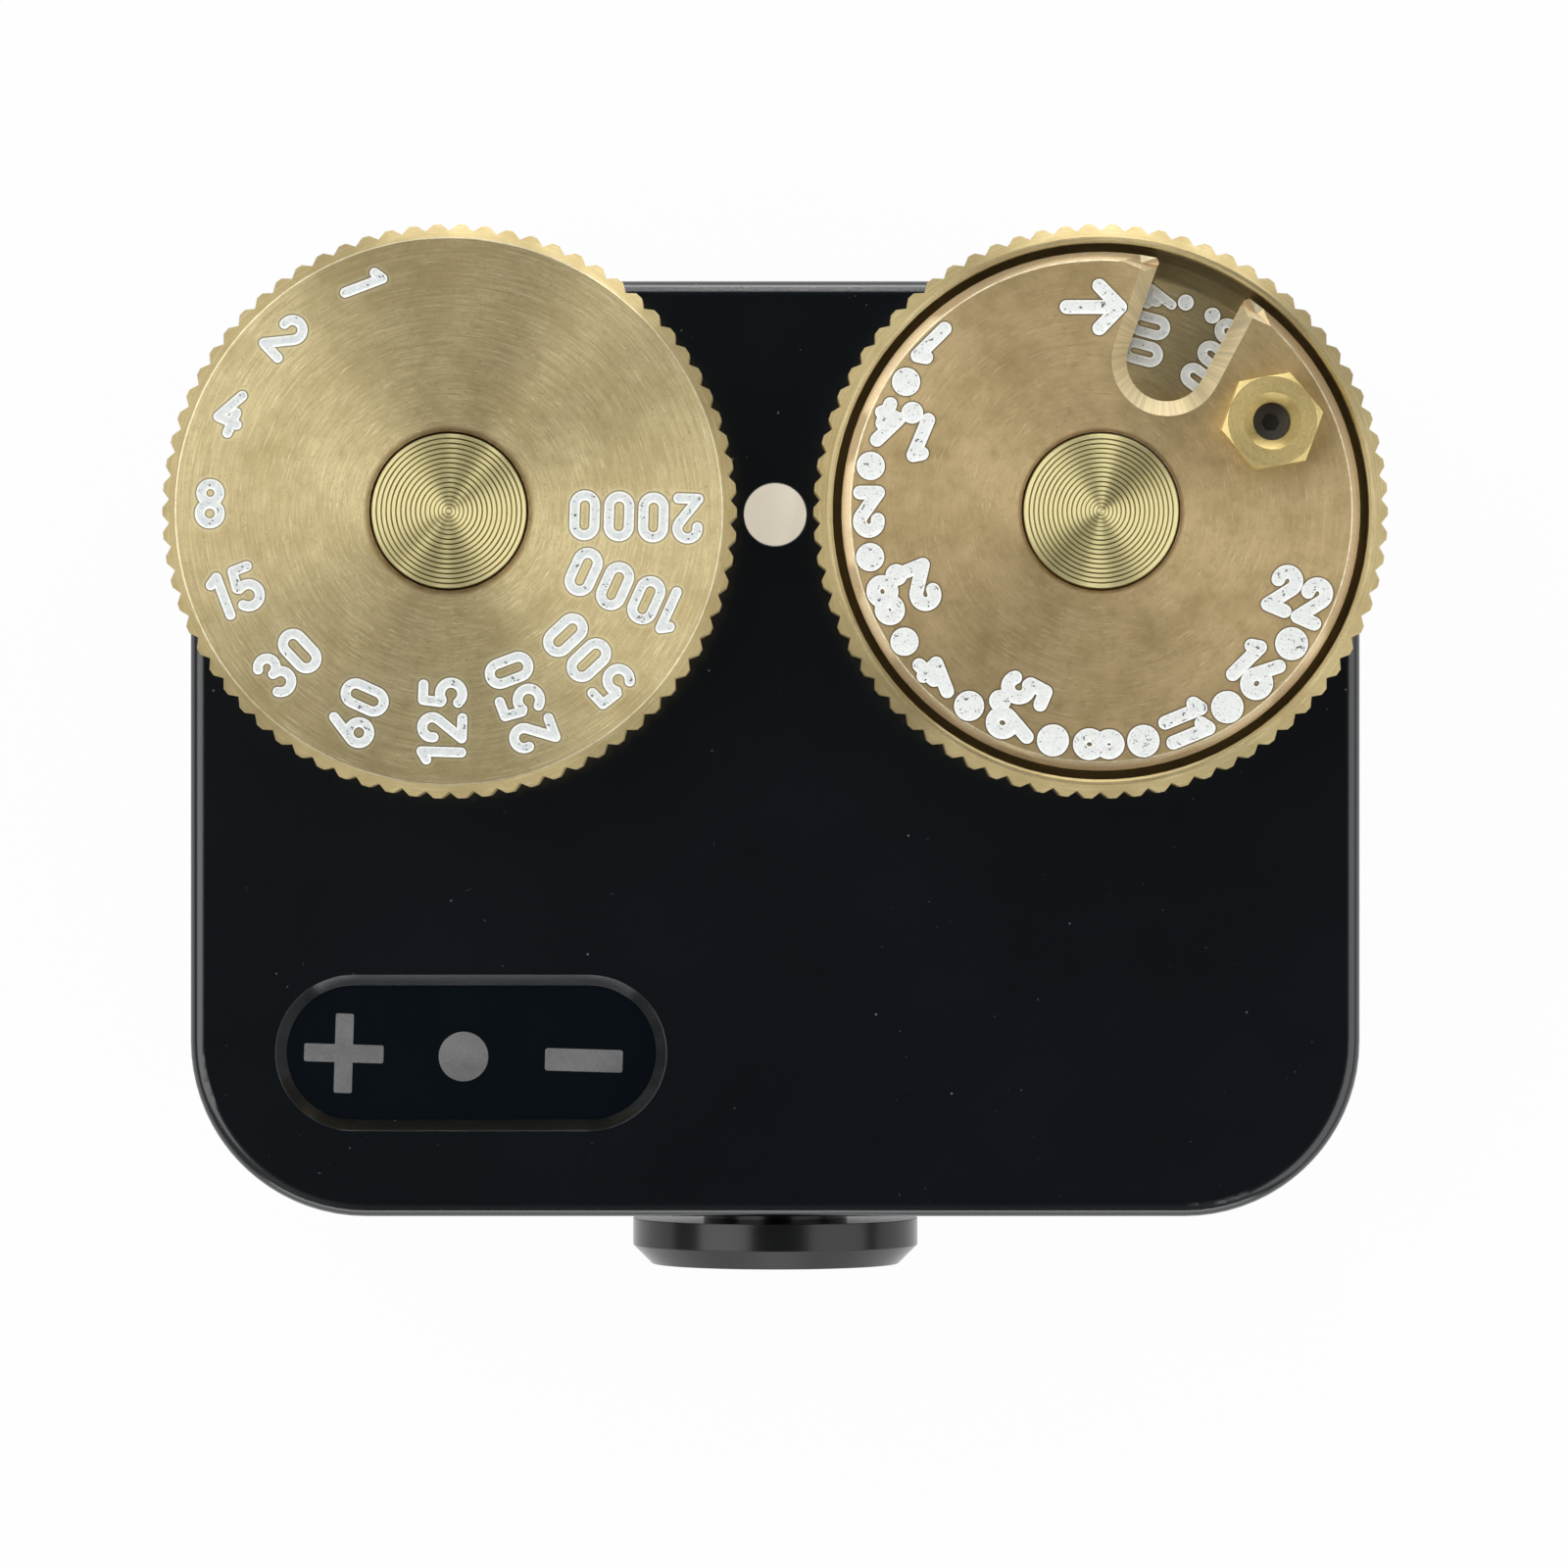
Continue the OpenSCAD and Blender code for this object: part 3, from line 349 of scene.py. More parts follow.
    def finish(self, roughness, milled, anisotropy, bump):
        """Sets the shader: the light fans out across the streaks."""
        self.set("Base Color", self.colour)
        rough = self.span(self.weigh((self.tone, 0.6), (self.blot, 0.4)), 0.35, 0.65,
                          roughness * 0.9, roughness * 1.12)
        if milled:
            rough = self.plus(rough, self.times(milled, MILLED_ROUGHER))
        self.set("Roughness", rough)
        self.set("Anisotropic", anisotropy)
        around = self.add("ShaderNodeVectorTransform", vector_type="VECTOR",
                          convert_from="OBJECT", convert_to="WORLD")
        self.feed(around.inputs[0], self.xyz(self.times(self.y, -1.0), self.x, 0.0))
        normal = self.add("ShaderNodeNewGeometry").outputs["Normal"]
        across = self.vmath("CROSS_PRODUCT", around.outputs[0], normal)
        self.set("Tangent", self.vmath("NORMALIZE", across))
        self.set("Normal", self.bump(self.weigh((self.tone, 0.8), (self.speck, 0.2)), bump, 0.02))
        return self.mat


def turned(name, centre, base, dark, roughness=0.45, anisotropy=0.85, streak=1.0, mottle=0.5,
           dirt_and_shade=None, slope=None, notch=None, low=None, gap=None, marks=None, bump=0.35):
    """Turned metal with the extras that are given, in the words of the methods of Turned.

    dirt is (inner, outer) of the painted shade round the cap, slope is (colour, share) of the
    painted light and shade on bevels and walls, notch is (middle, colour) of the notch's painted
    highlight, low is (height, colour, share) of the painted shade with grime below a height and
    marks is (halo, outline), the outline a painted shadow.
    """
    metal = Turned(name, centre, base, dark, streak, mottle)
    milled = None
    if dirt_and_shade:
        metal.shaded_ring(*dirt_and_shade)
    if slope:
        metal.slopes(*slope)
    if notch:
        milled = metal.milled_notch_highlight(*notch)
    if low:
        metal.shade_and_grime_below(*low, gap)
    if marks:
        metal.round_marks(*marks)
    return metal.finish(roughness, milled, anisotropy, bump)


def anodised(name, base, roughness, dust=0.6, ior=1.6, edge=0.05):
    """Black anodised metal under its hard skin: a fine grain, dust and softly worn edges."""
    s = Shader(name, IOR=ior)
    fine = s.noise(s.mm, 24.0, 3.0, 0.6)
    soft = s.noise(s.mm, 0.16, 3.0, 0.55)
    spots = s.cells(s.mm, 1.1)
    spot = s.times(s.span(spots["Distance"], 0.025, 0.05, 1.0, 0.0),
                   s.span(s.noise(spots["Position"], 9.0, 0.0), 0.52, 0.60))
    lint = s.times(s.span(s.noise(s.mm, 4.5, 2.0, 0.7), 0.73, 0.76),
                   s.span(s.noise(s.mm, 0.5, 1.0), 0.55, 0.6))
    dirt_and_shade = s.math("MAXIMUM", spot, s.times(lint, 0.6))
    lighter = scaled(base, 1.5)
    colour = s.mix(s.span(soft, 0.35, 0.65, 0.0, 0.5), base, lighter)
    colour = s.mix(s.span(fine, 0.45, 0.75, 0.0, 0.4), colour, lighter)
    s.set("Base Color", s.mix(s.times(dirt_and_shade, dust), colour, DUST))
    uneven = s.span(s.weigh((fine, 0.5), (soft, 0.5)), 0.3, 0.7, roughness * 0.88,
                    roughness * 1.12)
    s.set("Roughness", s.plus(uneven, s.times(dirt_and_shade, 0.3)))
    rounded_edge = s.add("ShaderNodeBevel", samples=4)
    rounded_edge.inputs["Radius"].default_value = edge * MM
    s.set("Normal", s.bump(fine, 0.08, 0.02, rounded_edge.outputs[0]))
    return s.mat


def brushed(name, base, roughness, lanes=(3.0, 3.0, 3.0)):
    """Steel with long uneven lines and smudges. lanes is how fine they are along each axis."""
    s = Shader(name, Metallic=1.0)
    lines = s.noise(s.vmath("MULTIPLY", s.mm, lanes), 1.0, 4.0, 0.65)
    smudge = s.noise(s.mm, 0.3, 3.0, 0.6)
    darker = scaled(base, 0.72)
    colour = s.mix(s.span(lines, 0.35, 0.65), darker, base)
    s.set("Base Color", s.mix(s.span(smudge, 0.5, 0.75, 0.0, 0.3), colour, darker))
    s.set("Roughness", s.span(s.weigh((lines, 0.6), (smudge, 0.4)), 0.35, 0.65,
                              roughness * 0.75, roughness * 1.25))
    s.set("Normal", s.bump(lines, 0.2, 0.02))
    return s.mat


def moulded(name, base, roughness, grain=6.0, bump=0.3, level=0.5, vary=1.25, painted_glow=0.0):
    """Moulded plastic, ceramic or board: a fine texture and faint clouds of colour.

    milky is the strength of an even glow in the plastic's own colour: painted light, though the
    plastic is no lamp.
    """
    s = Shader(name)
    fine = s.noise(s.mm, grain, 4.0, 0.6)
    soft = s.noise(s.mm, 0.4, 3.0, 0.6)
    cloud = s.span(s.weigh((fine, 0.4), (soft, 0.6)), 0.35, 0.65)
    s.set("Base Color", s.mix(cloud, base, scaled(base, vary)))
    s.set("Roughness", s.span(fine, 0.3, 0.7, roughness * 0.85, roughness * 1.15))
    s.set("Specular IOR Level", level)
    if painted_glow:
        s.set("Emission Color", base)
        s.set("Emission Strength", painted_glow)
    s.set("Normal", s.bump(fine, bump, 0.015))
    return s.mat


def paint(name, shade=1.0, sunk=1.0):
    """White filler in the engraving: bright rims, a sunk middle greyed by painted shade, and
    small dark pits.
    """
    s = Shader(name)
    near = s.mark()
    cloud = s.noise(s.mm, 3.2, 3.0, 0.6)
    grain = s.noise(s.mm, 13.0, 3.0, 0.65)
    holes = s.math("MAXIMUM", s.span(s.noise(s.mm, 5.5, 2.0, 0.7), 0.645, 0.68),
                   s.span(grain, 0.62, 0.68, 0.0, 0.7))
    pits = s.times(s.span(near, -0.03, -0.07), holes)
    # Painted shade in the sunk middle
    middle = s.times(s.span(near, -0.03, -0.09, 0.0, sunk), s.span(cloud, 0.3, 0.6, 0.5, 1.0))
    white, grey = scaled(rgb(252, 252, 246), shade), scaled(rgb(216, 221, 220), shade)
    colour = s.mix(middle, white, grey)
    colour = s.mix(s.span(grain, 0.42, 0.66, 0.0, 0.45), colour, grey)
    s.set("Base Color", s.mix(pits, colour, rgb(98, 100, 98)))
    s.set("Roughness", s.span(cloud, 0.3, 0.7, 0.35, 0.55))
    s.set("Normal", s.bump(s.math("SUBTRACT", cloud, s.times(pits, 1.2)), 0.35, 0.03))
    return s.mat


def clear_glass(name):
    """Clear glass with faint clouds."""
    s = Shader(name, Roughness=0.06, IOR=1.5, Transmission_Weight=0.85)
    cloud = s.span(s.noise(s.mm, 1.5, 3.0), 0.4, 0.7, 0.0, 0.3)
    s.set("Base Color", s.mix(cloud, rgb(228, 234, 238), rgb(196, 206, 214)))
    s.set("Normal", s.bump(s.noise(s.mm, 9.0, 2.0), 0.04, 0.01))
    return s.mat


BRASS = ((0.75, 0.63, 0.352, 1), (0.455, 0.345, 0.158, 1))
DISC = ((0.60, 0.455, 0.245, 1), (0.365, 0.27, 0.12, 1))
CAP = ((0.98, 0.81, 0.43, 1), (0.80, 0.60, 0.22, 1))
POST_BRASS = ((0.69, 0.55, 0.24, 1), (0.40, 0.31, 0.12, 1))
# Painted shade on the dials' bevels and walls, then painted shade with some grime low in the cup
# and on the post
SLOPE_SHADE, UMBER = (0.40, 0.31, 0.13, 1), (0.075, 0.045, 0.014, 1)
# Painted highlights on the disc's bevels and walls, and on the notch's milled bevel
DISC_SLOPE_LIGHT, NOTCH_HIGHLIGHT = (0.80, 0.64, 0.42, 1), (0.91, 0.81, 0.57, 1)
# Painted shade with some grime at the bottoms of the caps' grooves
GROOVE_SHADE = (0.16, 0.085, 0.006, 1)
# The middle of the mill's cuts, from the dial's middle
NOTCH_MIDDLE = (2.16, 5.65)
CAP_LOOK = dict(roughness=0.43, anisotropy=0.99, streak=0.12, mottle=0.0, bump=0.0,
                low=(GROOVE_SHADE_TOP, GROOVE_SHADE, 0.97))
ALONG_Y, ALONG_X = (9.0, 0.25, 9.0), (0.25, 9.0, 9.0)
mats = {
    "case": anodised("case_black", (0.0013, 0.0030, 0.0046, 1), 0.16, ior=1.68),
    "button": anodised("button_black", (0.0060, 0.0064, 0.0066, 1), 0.2, dust=0.3, ior=1.48),
    "dial_left": turned("dial_brass_left", LEFT_DIAL, *BRASS, dirt_and_shade=LEFT_CAP_SHADE,
                        slope=(SLOPE_SHADE, 0.45), marks=(0.5, 0.7)),
    "dial_right": turned("dial_brass_right", RIGHT_DIAL, *BRASS, slope=(SLOPE_SHADE, 0.45),
                         low=(CUP_SHADE_TOP, UMBER, 0.45), gap=GAP_R, marks=(0.0, 0.7)),
    "disc": turned("disc_brass", RIGHT_DIAL, *DISC, roughness=0.48, anisotropy=0.6, streak=0.5,
                   mottle=0.7, dirt_and_shade=RIGHT_CAP_SHADE, slope=(DISC_SLOPE_LIGHT, 0.75),
                   notch=(NOTCH_MIDDLE, NOTCH_HIGHLIGHT), marks=(0.0, 0.85)),
    "cap_left": turned("cap_brass_left", LEFT_DIAL, *CAP, **CAP_LOOK),
    "cap_right": turned("cap_brass_right", RIGHT_DIAL, *CAP, **CAP_LOOK),
    "post": turned("post_brass", POST, *POST_BRASS, anisotropy=0.3, streak=0.6, mottle=0.3,
                   low=(POST_SHADE_TOP, UMBER, 0.5)),
    "foot": brushed("foot_steel", rgb(190, 190, 192), 0.36, ALONG_Y),
    "screw": brushed("screw_steel", rgb(176, 176, 178), 0.3),
    "nut": brushed("nut_steel", rgb(170, 168, 164), 0.34),
    # The index dot glows with painted light
    "index": moulded("index_white", rgb(252, 244, 229), 0.3, 3.0, 0.08, vary=1.04, painted_glow=0.19),
    "glass": moulded("window_black", (0.0012, 0.003, 0.005, 1), 0.1, 30.0, 0.02, vary=1.3),
    "light": moulded("light_grey", rgb(88, 88, 88), 0.5, 14.0, 0.5, level=0.4, vary=2.0),
    "dark": moulded("dark_plastic", rgb(22, 22, 24), 0.55),
    "set_screw": anodised("set_screw_black", (0.08, 0.08, 0.083, 1), 0.2, dust=0.1, edge=0.03),
    "plunger": moulded("plunger_plastic", rgb(196, 188, 172), 0.45),
    "board": moulded("board_green", rgb(22, 66, 42), 0.35, 2.0, 0.15),
    "ceramic": moulded("part_ceramic", rgb(162, 138, 106), 0.5),
    "chip": moulded("led_chip", rgb(232, 222, 160), 0.25),
    "cell": brushed("cell_steel", rgb(196, 196, 198), 0.25),
    "gilt": brushed("contact_gold", (0.83, 0.62, 0.28, 1), 0.28, ALONG_X),
    "lens": clear_glass("lens_glass"),
    "paint": paint("paint_white"),
    "paint_disc": paint("paint_white_disc", 0.97, sunk=0.5),
    # Filler on the cup's deep floor, darkened all over as painted shade
    "paint_shaded": paint("paint_white_shaded", 0.78),
}


# New objects
def new_object(name, data):
    """An object of that name in the scene."""
    obj = bpy.data.objects.new(name, data)
    bpy.context.scene.collection.objects.link(obj)
    return obj


def new_piece(name, bm, body, materials, replaced=None):
    """A piece made of finished mesh code, which rides a body and may stand for a CAD node."""
    mesh = bpy.data.meshes.new(name)
    bm.to_mesh(mesh)
    bm.free()
    for material in materials:
        mesh.materials.append(material)
    piece = new_object(name, mesh)
    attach(piece, body)
    if replaced:
        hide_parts(replaced)


def shade(bm, sharp):
    """Smooth shading, but for edges between two materials or beyond an angle in radians."""
    for face in bm.faces:
        face.smooth = True
    for edge in bm.edges:
        if len(edge.link_faces) == 2:
            one, other = edge.link_faces
            if (one.material_index != other.material_index
                    or one.normal.angle(other.normal, 0) > sharp):
                edge.smooth = False


# Strokes of the numerals
def arc(cx, cy, r, start, end, step=15.0):
    """Places along an arc, its angles in degrees."""
    n = max(2, int(round(abs(end - start) / step)))
    return [at((cx, cy), r, start + (end - start) * i / n) for i in range(n + 1)]


def closed(points):
    return points + [points[0]]


# Centre lines in a box from x -0.25 to 0.25 and y 0 to 1
DIGITS = {
    "0": [closed(arc(0, 0.75, 0.25, 0, 180) + arc(0, 0.25, 0.25, 180, 360))],
    "1": [[(0.05, 0), (0.05, 1)], [(0.05, 1), (-0.15, 0.87)]],
    "2": [arc(0, 0.75, 0.25, 190, -36.87) + [(-0.25, 0), (0.25, 0)]],
    "3": [arc(-0.02, 0.765, 0.225, 150, -90), arc(-0.01, 0.27, 0.265, 90, -150)],
    "4": [[(0.08, 1), (-0.25, 0.28), (0.25, 0.28)], [(0.12, 0), (0.12, 0.55)]],
    "5": [[(0.2, 1), (-0.18, 1), (-0.22, 0.56)] + arc(-0.01, 0.3, 0.28, 125, -140)],
    "6": [closed(arc(0, 0.27, 0.26, 0, 345)), [(-0.235, 0.38), (0.1, 1)]],
    "8": [closed(arc(0, 0.25, 0.25, 0, 345)), closed(arc(0, 0.765, 0.225, 0, 345))],
}
DIGIT_WIDTH = 0.5
ONE_LEFT, ONE_RIGHT = 0.15, 0.05
FAR = 1e9
DOT_STEPS, TURN_STEP, SMALL_TURN = 28, 0.4, 0.02


def direction(angle):
    return np.array([math.cos(angle), math.sin(angle)])


def one_side(line, offset, is_loop):
    """Places on the right of a line, at an offset, with rounded outer corners and end."""
    legs = [line[i + 1] - line[i] for i in range(len(line) - 1)]
    headings = [math.atan2(leg[1], leg[0]) for leg in legs]
    side = []
    for i, heading in enumerate(headings):
        start = heading - math.pi / 2
        shift = offset * direction(start)
        side += [line[i] + shift, line[i + 1] + shift]
        last = i == len(legs) - 1
        if last and not is_loop:
            turn = math.pi
        else:
            following = headings[0 if last else i + 1]
            turn = (following - heading + math.pi) % math.tau - math.pi
        if turn > SMALL_TURN:
            steps = math.ceil(turn / TURN_STEP)
            side += [line[i + 1] + offset * direction(start + turn * k / steps)
                     for k in range(1, steps)]
    return side


class Stroke:
    """One centre line with its half width, in the plane of a face."""

    def __init__(self, points, half):
        self.points, self.half = np.array(points, float), half

    def reach(self, where):
        """Distance of many places to the centre line."""
        if len(self.points) == 1:
            return np.hypot(*(where - self.points[0]).T)
        best = np.full(len(where), FAR)
        for a, b in zip(self.points[:-1], self.points[1:]):
            leg = b - a
            share = np.clip(((where - a) @ leg) / max(leg @ leg, 1e-12), 0, 1)
            best = np.minimum(best, np.hypot(*(where - a - share[:, None] * leg).T))
        return best

    def outline(self, offset):
        """Closed loops at an offset round the centre line."""
        line = self.points
        if len(line) == 1:
            return [[line[0] + place for place in ring(offset, DOT_STEPS)]]
        is_loop = np.allclose(line[0], line[-1])
        sides = [one_side(run, offset, is_loop) for run in (line, line[::-1])]
        return sides if is_loop else [sides[0] + sides[1]]


# Numbers
def digit(char, centre, turn, size, half):
    """Strokes of one digit, its box's middle at centre, its reading direction turned by turn."""
    wide, high = size
    return [Stroke([local(centre, turn, x * wide / DIGIT_WIDTH, (y - 0.5) * high)
                    for x, y in line], half) for line in DIGITS[char]]


def spread(char, size, half):
    """How far a digit's outline reaches left and right of its middle."""
    if char == "1":
        unit = size[0] / DIGIT_WIDTH
        return ONE_LEFT * unit + half, ONE_RIGHT * unit + half
    return size[0] / 2 + half, size[0] / 2 + half


def inward(text, centre, angle, edge, size, half, gap):
    """A number that starts at radius edge and reads towards the centre."""
    made, cursor = [], edge
    for char in text:
        left, right = spread(char, size, half)
        made += digit(char, at(centre, cursor - left, angle), angle + 180, size, half)
        cursor -= left + right + gap
    return made


# A decimal point: its radius, its distance from the digits' middles, and how far down it lies
POINT_R, POINT_ASIDE, POINT_DOWN = 0.37, 0.65, 0.66


def outward(text, centre, angle, edge, size, half, gap):
    """A number that reads away from the centre and ends at radius edge. Where it has a decimal
    point, this is one large dot between its two digits."""
    made, cursor = [], edge
    digits = text.replace(".", "")
    pointed = digits != text
    last_middle = edge - size[0] / 2 - half
    for k in reversed(range(len(digits))):
        left, right = spread(digits[k], size, half)
        r = last_middle - 2 * POINT_ASIDE if pointed and k == 0 else cursor - right
        made += digit(digits[k], at(centre, r, angle), angle, size, half)
        cursor -= left + right + gap
    if pointed:
        dot = local(centre, angle, last_middle - POINT_ASIDE, -POINT_DOWN)
        made.append(Stroke([dot], POINT_R))
    return made


# Engraving a flat face
# Lines round each stroke: shares of its half width inside it, and distances outside it
INNER_LINES, OUTER_LINES = (0.45, 0.78, 1.0), (0.05, 0.17)
# A number or dot is measured only from places up to this far round its strokes
NEAR_GROUP = 1.0
DIAL_SINK, CUP_SINK = 0.05, 0.04


def drop_loose(bm):
    bmesh.ops.delete(bm, geom=[v for v in bm.verts if not v.link_edges], context="VERTS")


def take_face_out(bm, level):
    """Takes the flat face at a height out of a mesh, and gives the edges of its rim."""
    flat_faces = [f for f in bm.faces
                  if f.normal.z > 0.999 and abs(f.calc_center_median().z - level) < 1e-3]
    chosen = set(flat_faces)
    rim = [e for e in bm.edges if sum(f in chosen for f in e.link_faces) == 1]
    bmesh.ops.delete(bm, geom=flat_faces, context="FACES_ONLY")
    bmesh.ops.delete(bm, geom=[e for e in bm.edges if not e.link_faces], context="EDGES")
    drop_loose(bm)
    return [e for e in rim if e.is_valid]


def add_line(points, edges, line, loop):
    """Adds a line to the points and edges of an outline, closed where loop is true."""
    first, count = len(points), len(line)
    points += [Vector(p) for p in line]
    edges += [(first + k, first + (k + 1) % count) for k in range(count if loop else count - 1)]


def measure(where, groups, sink):
    """Each place's distance from the nearest stroke's outline, and how deep it is engraved."""
    near, depth = np.full(len(where), FAR), np.zeros(len(where))
    for group in groups:
        core = np.concatenate([stroke.points for stroke in group])
        low, high = core.min(0) - NEAR_GROUP, core.max(0) + NEAR_GROUP
        close = np.where(((where > low) & (where < high)).all(1))[0]
        for stroke in group:
            reach = stroke.reach(where[close])
            near[close] = np.minimum(near[close], reach - stroke.half)
            share = np.clip(reach / stroke.half, 0, 1)
            depth[close] = np.maximum(depth[close], sink * (1 - share ** 2))
    return near, depth


def inside(place, segments):
    """Whether a ray from a place crosses the rim's segments an odd number of times."""
    start, end = segments[:, 0], segments[:, 1]
    hit = (start[:, 1] > place[1]) != (end[:, 1] > place[1])
    start, end = start[hit], end[hit]
    crossing = start[:, 0] + ((place[1] - start[:, 1]) / (end[:, 1] - start[:, 1])
                              * (end[:, 0] - start[:, 0]))
    return (crossing > place[0]).sum() % 2 == 1


def face_plan(border, rim, groups, guides):
    """Points and edges of the face's rim, of the guides, and of the lines round each stroke."""
    number = {v: i for i, v in enumerate(border)}
    points = [Vector((v.co.x, v.co.y)) for v in border]
    edges = [(number[e.verts[0]], number[e.verts[1]]) for e in rim]
    for line in guides:
        add_line(points, edges, line, loop=False)
    for stroke in (s for group in groups for s in group):
        offsets = [stroke.half * share for share in INNER_LINES]
        offsets += [stroke.half + extra for extra in OUTER_LINES]
        for loop in (line for offset in offsets for line in stroke.outline(offset)):
            add_line(points, edges, loop, loop=True)
    return points, edges


def fill_face(bm, verts, triangles, segments, middles, middle_near):
    """New faces inside the rim, with the second material where they are painted."""
    for corners, middle, near in zip(triangles, middles, middle_near):
        trio = [verts[k] for k in corners]
        if len(set(trio)) < 3 or not inside(middle, segments) or bm.faces.get(trio):
            continue
        face = bm.faces.new(trio)
        face.normal_update()
        if face.normal.z < 0:
            face.normal_flip()
        face.material_index = 1 if near < 0 else 0


def no_drop(x, y):
    return 0.0


def engrave(piece, level, groups, body, node, materials, sink, guides=(), drop=no_drop):
    """A copy of a CAD node whose flat face at height level carries sunk, paint-filled strokes.

    drop gives how far the face is bevelled or worn down at a place, and guides are the lines
    at which such a slope starts. The new face keeps the old rim's own vertices.
    """
    bm = bmesh.new()
    bm.from_mesh(nodes[node].data)
    mark = bm.verts.layers.float.new("mark")
    bmesh.ops.scale(bm, vec=(1 / MM,) * 3, verts=bm.verts)
    bmesh.ops.remove_doubles(bm, verts=bm.verts, dist=1e-4)
    rim = take_face_out(bm, level)
    border = list(dict.fromkeys(v for e in rim for v in e.verts))
    segments = np.array([[v.co.xy[:] for v in e.verts] for e in rim])
    plan = face_plan(border, rim, groups, guides)
    flat, _, triangles, origins, _, _ = delaunay_2d_cdt(*plan, [], 0, 1e-5)
    where = np.array([place[:] for place in flat])
    near, depth = measure(where, groups, sink)
    for v in border:
        v.co.z -= drop(v.co.x, v.co.y)
    verts = []
    for place, sources, sunk in zip(flat, origins, depth):
        old = next((k for k in sources if k < len(border)), None)
        if old is None:
            verts.append(bm.verts.new((*place, level - sunk - drop(*place))))
        else:
            verts.append(border[old])
    middles = where[np.array(triangles)].mean(1)
    fill_face(bm, verts, triangles, segments, middles, measure(middles, groups, sink)[0])
    drop_loose(bm)
    index_of = {v: i for i, v in enumerate(verts)}
    for v in bm.verts:
        v[mark] = float(min(near[index_of[v]], 1.0)) if v in index_of else 1.0
    shade(bm, sharp=0.25)
    bmesh.ops.scale(bm, vec=(MM,) * 3, verts=bm.verts)
    new_piece(piece, bm, body, materials, node)


# The turned edges are worn by a hair, and the disc's notch has a wide milled bevel
WEAR, WEAR_DEPTH = 0.05, 0.016
NOTCH_ANGLE, NOTCH_REACH, NOTCH_R, NOTCH_FLARE = 66.3, 5.55, 1.36, math.radians(4.2)
NOTCH_BEVEL, MOUTH, MOUTH_HALF = 0.52, 8.01, 1.9
GUIDE_STEPS, GUIDE_PITCH = 40, 0.1


def edge_line(centre, radius, keep=None, steps=180):
    """Lines along a circle, broken where keep is false of a place."""
    lines, line = [], []
    for k in range(steps + 1):
        place = at(centre, radius, 360 * k / steps)
        if keep is None or keep(*place):
            line.append(place)
        elif line:
            lines.append(line)
            line = []
    return lines + [line] if line else lines


def worn(x, y, centre, radius):
    """How far a round edge is worn down at a place."""
    r = math.hypot(x - centre[0], y - centre[1])
    return WEAR_DEPTH * min(1.0, max(0.0, (r - radius + WEAR) / WEAR))


def notch_local(x, y):
    """A place in the notch's own axes: out along its middle, and aside."""
    return local((0.0, 0.0), -NOTCH_ANGLE, x - RIGHT_DIAL[0], y - RIGHT_DIAL[1])


def notch_distance(x, y):
    """Distance from the notch's outline, into the disc."""
    out, aside = notch_local(x, y)
    out, aside = out - NOTCH_REACH, abs(aside)
    if out * math.cos(NOTCH_FLARE) + aside * math.sin(NOTCH_FLARE) < 0:
        return math.hypot(out, aside) - NOTCH_R
    return aside * math.cos(NOTCH_FLARE) - out * math.sin(NOTCH_FLARE) - NOTCH_R


def dial_drop(x, y):
    return worn(x, y, LEFT_DIAL, DIAL_EDGE)


def disc_drop(x, y):
    """The deepest of the notch's bevel, the slope at its mouth and the worn edge."""
    bevel = min(NOTCH_BEVEL, max(0.0, NOTCH_BEVEL - notch_distance(x, y)))
    return max(bevel, notch_local(x, y)[0] - MOUTH, worn(x, y, RIGHT_DIAL, DISC_EDGE))


def before_mouth(x, y):
    return notch_local(x, y)[0] < MOUTH - WEAR


def notch_guides():
    """The upper line of the notch's bevel, and of the slope at each corner of its mouth."""
    wide = NOTCH_R + NOTCH_BEVEL
    along, across = math.cos(NOTCH_FLARE), math.sin(NOTCH_FLARE)
    side = [(NOTCH_REACH + GUIDE_PITCH * k * along - wide * across,
             GUIDE_PITCH * k * across + wide * along) for k in range(GUIDE_STEPS)]
    side = [place for place in side if math.hypot(*place) < BEVEL_IN]
    start, sweep = math.pi / 2 + NOTCH_FLARE, math.pi - 2 * NOTCH_FLARE
    turns = [start + sweep * k / GUIDE_STEPS for k in range(1, GUIDE_STEPS)]
    end = [(NOTCH_REACH + wide * math.cos(turn), wide * math.sin(turn)) for turn in turns]
    lines = [side[::-1] + end + [(out, -aside) for out, aside in side]]
    corner = math.sqrt(BEVEL_OUT ** 2 - MOUTH ** 2)
    lines += [[(MOUTH, sign * MOUTH_HALF), (MOUTH, sign * corner)] for sign in (1, -1)]
    return [[local(RIGHT_DIAL, NOTCH_ANGLE, *place) for place in line] for line in lines]


# Marks on the dials, one stop apart
STOP = 22.5
TIMES = ["2000", "1000", "500", "250", "125", "60", "30", "15", "8", "4", "2", "1"]
APERTURES = ["1", "1.4", "2", "2.8", "4", "5.6", "8", "11", "16", "22"]
SPEEDS = ["25", "50", "100", "200", "400", "800", "1600", "3200", "6400"]
TIME_FONT = dict(size=(0.68, 1.345), half=0.17)
APERTURE_FONT = dict(size=(0.61, 1.29), half=0.235)
SPEED_FONT = dict(size=(0.53, 1.12), half=0.165)
TIME_EDGE, TIME_ANGLE, TIME_GAP = 8.57, -1.8, 0.14
APERTURE_EDGE, APERTURE_ANGLE, APERTURE_GAP = 8.34, 134.7, 0.012
# The real aperture scale lies a little off the dial's middle
APERTURE_MIDDLE = (10.965, 7.935)
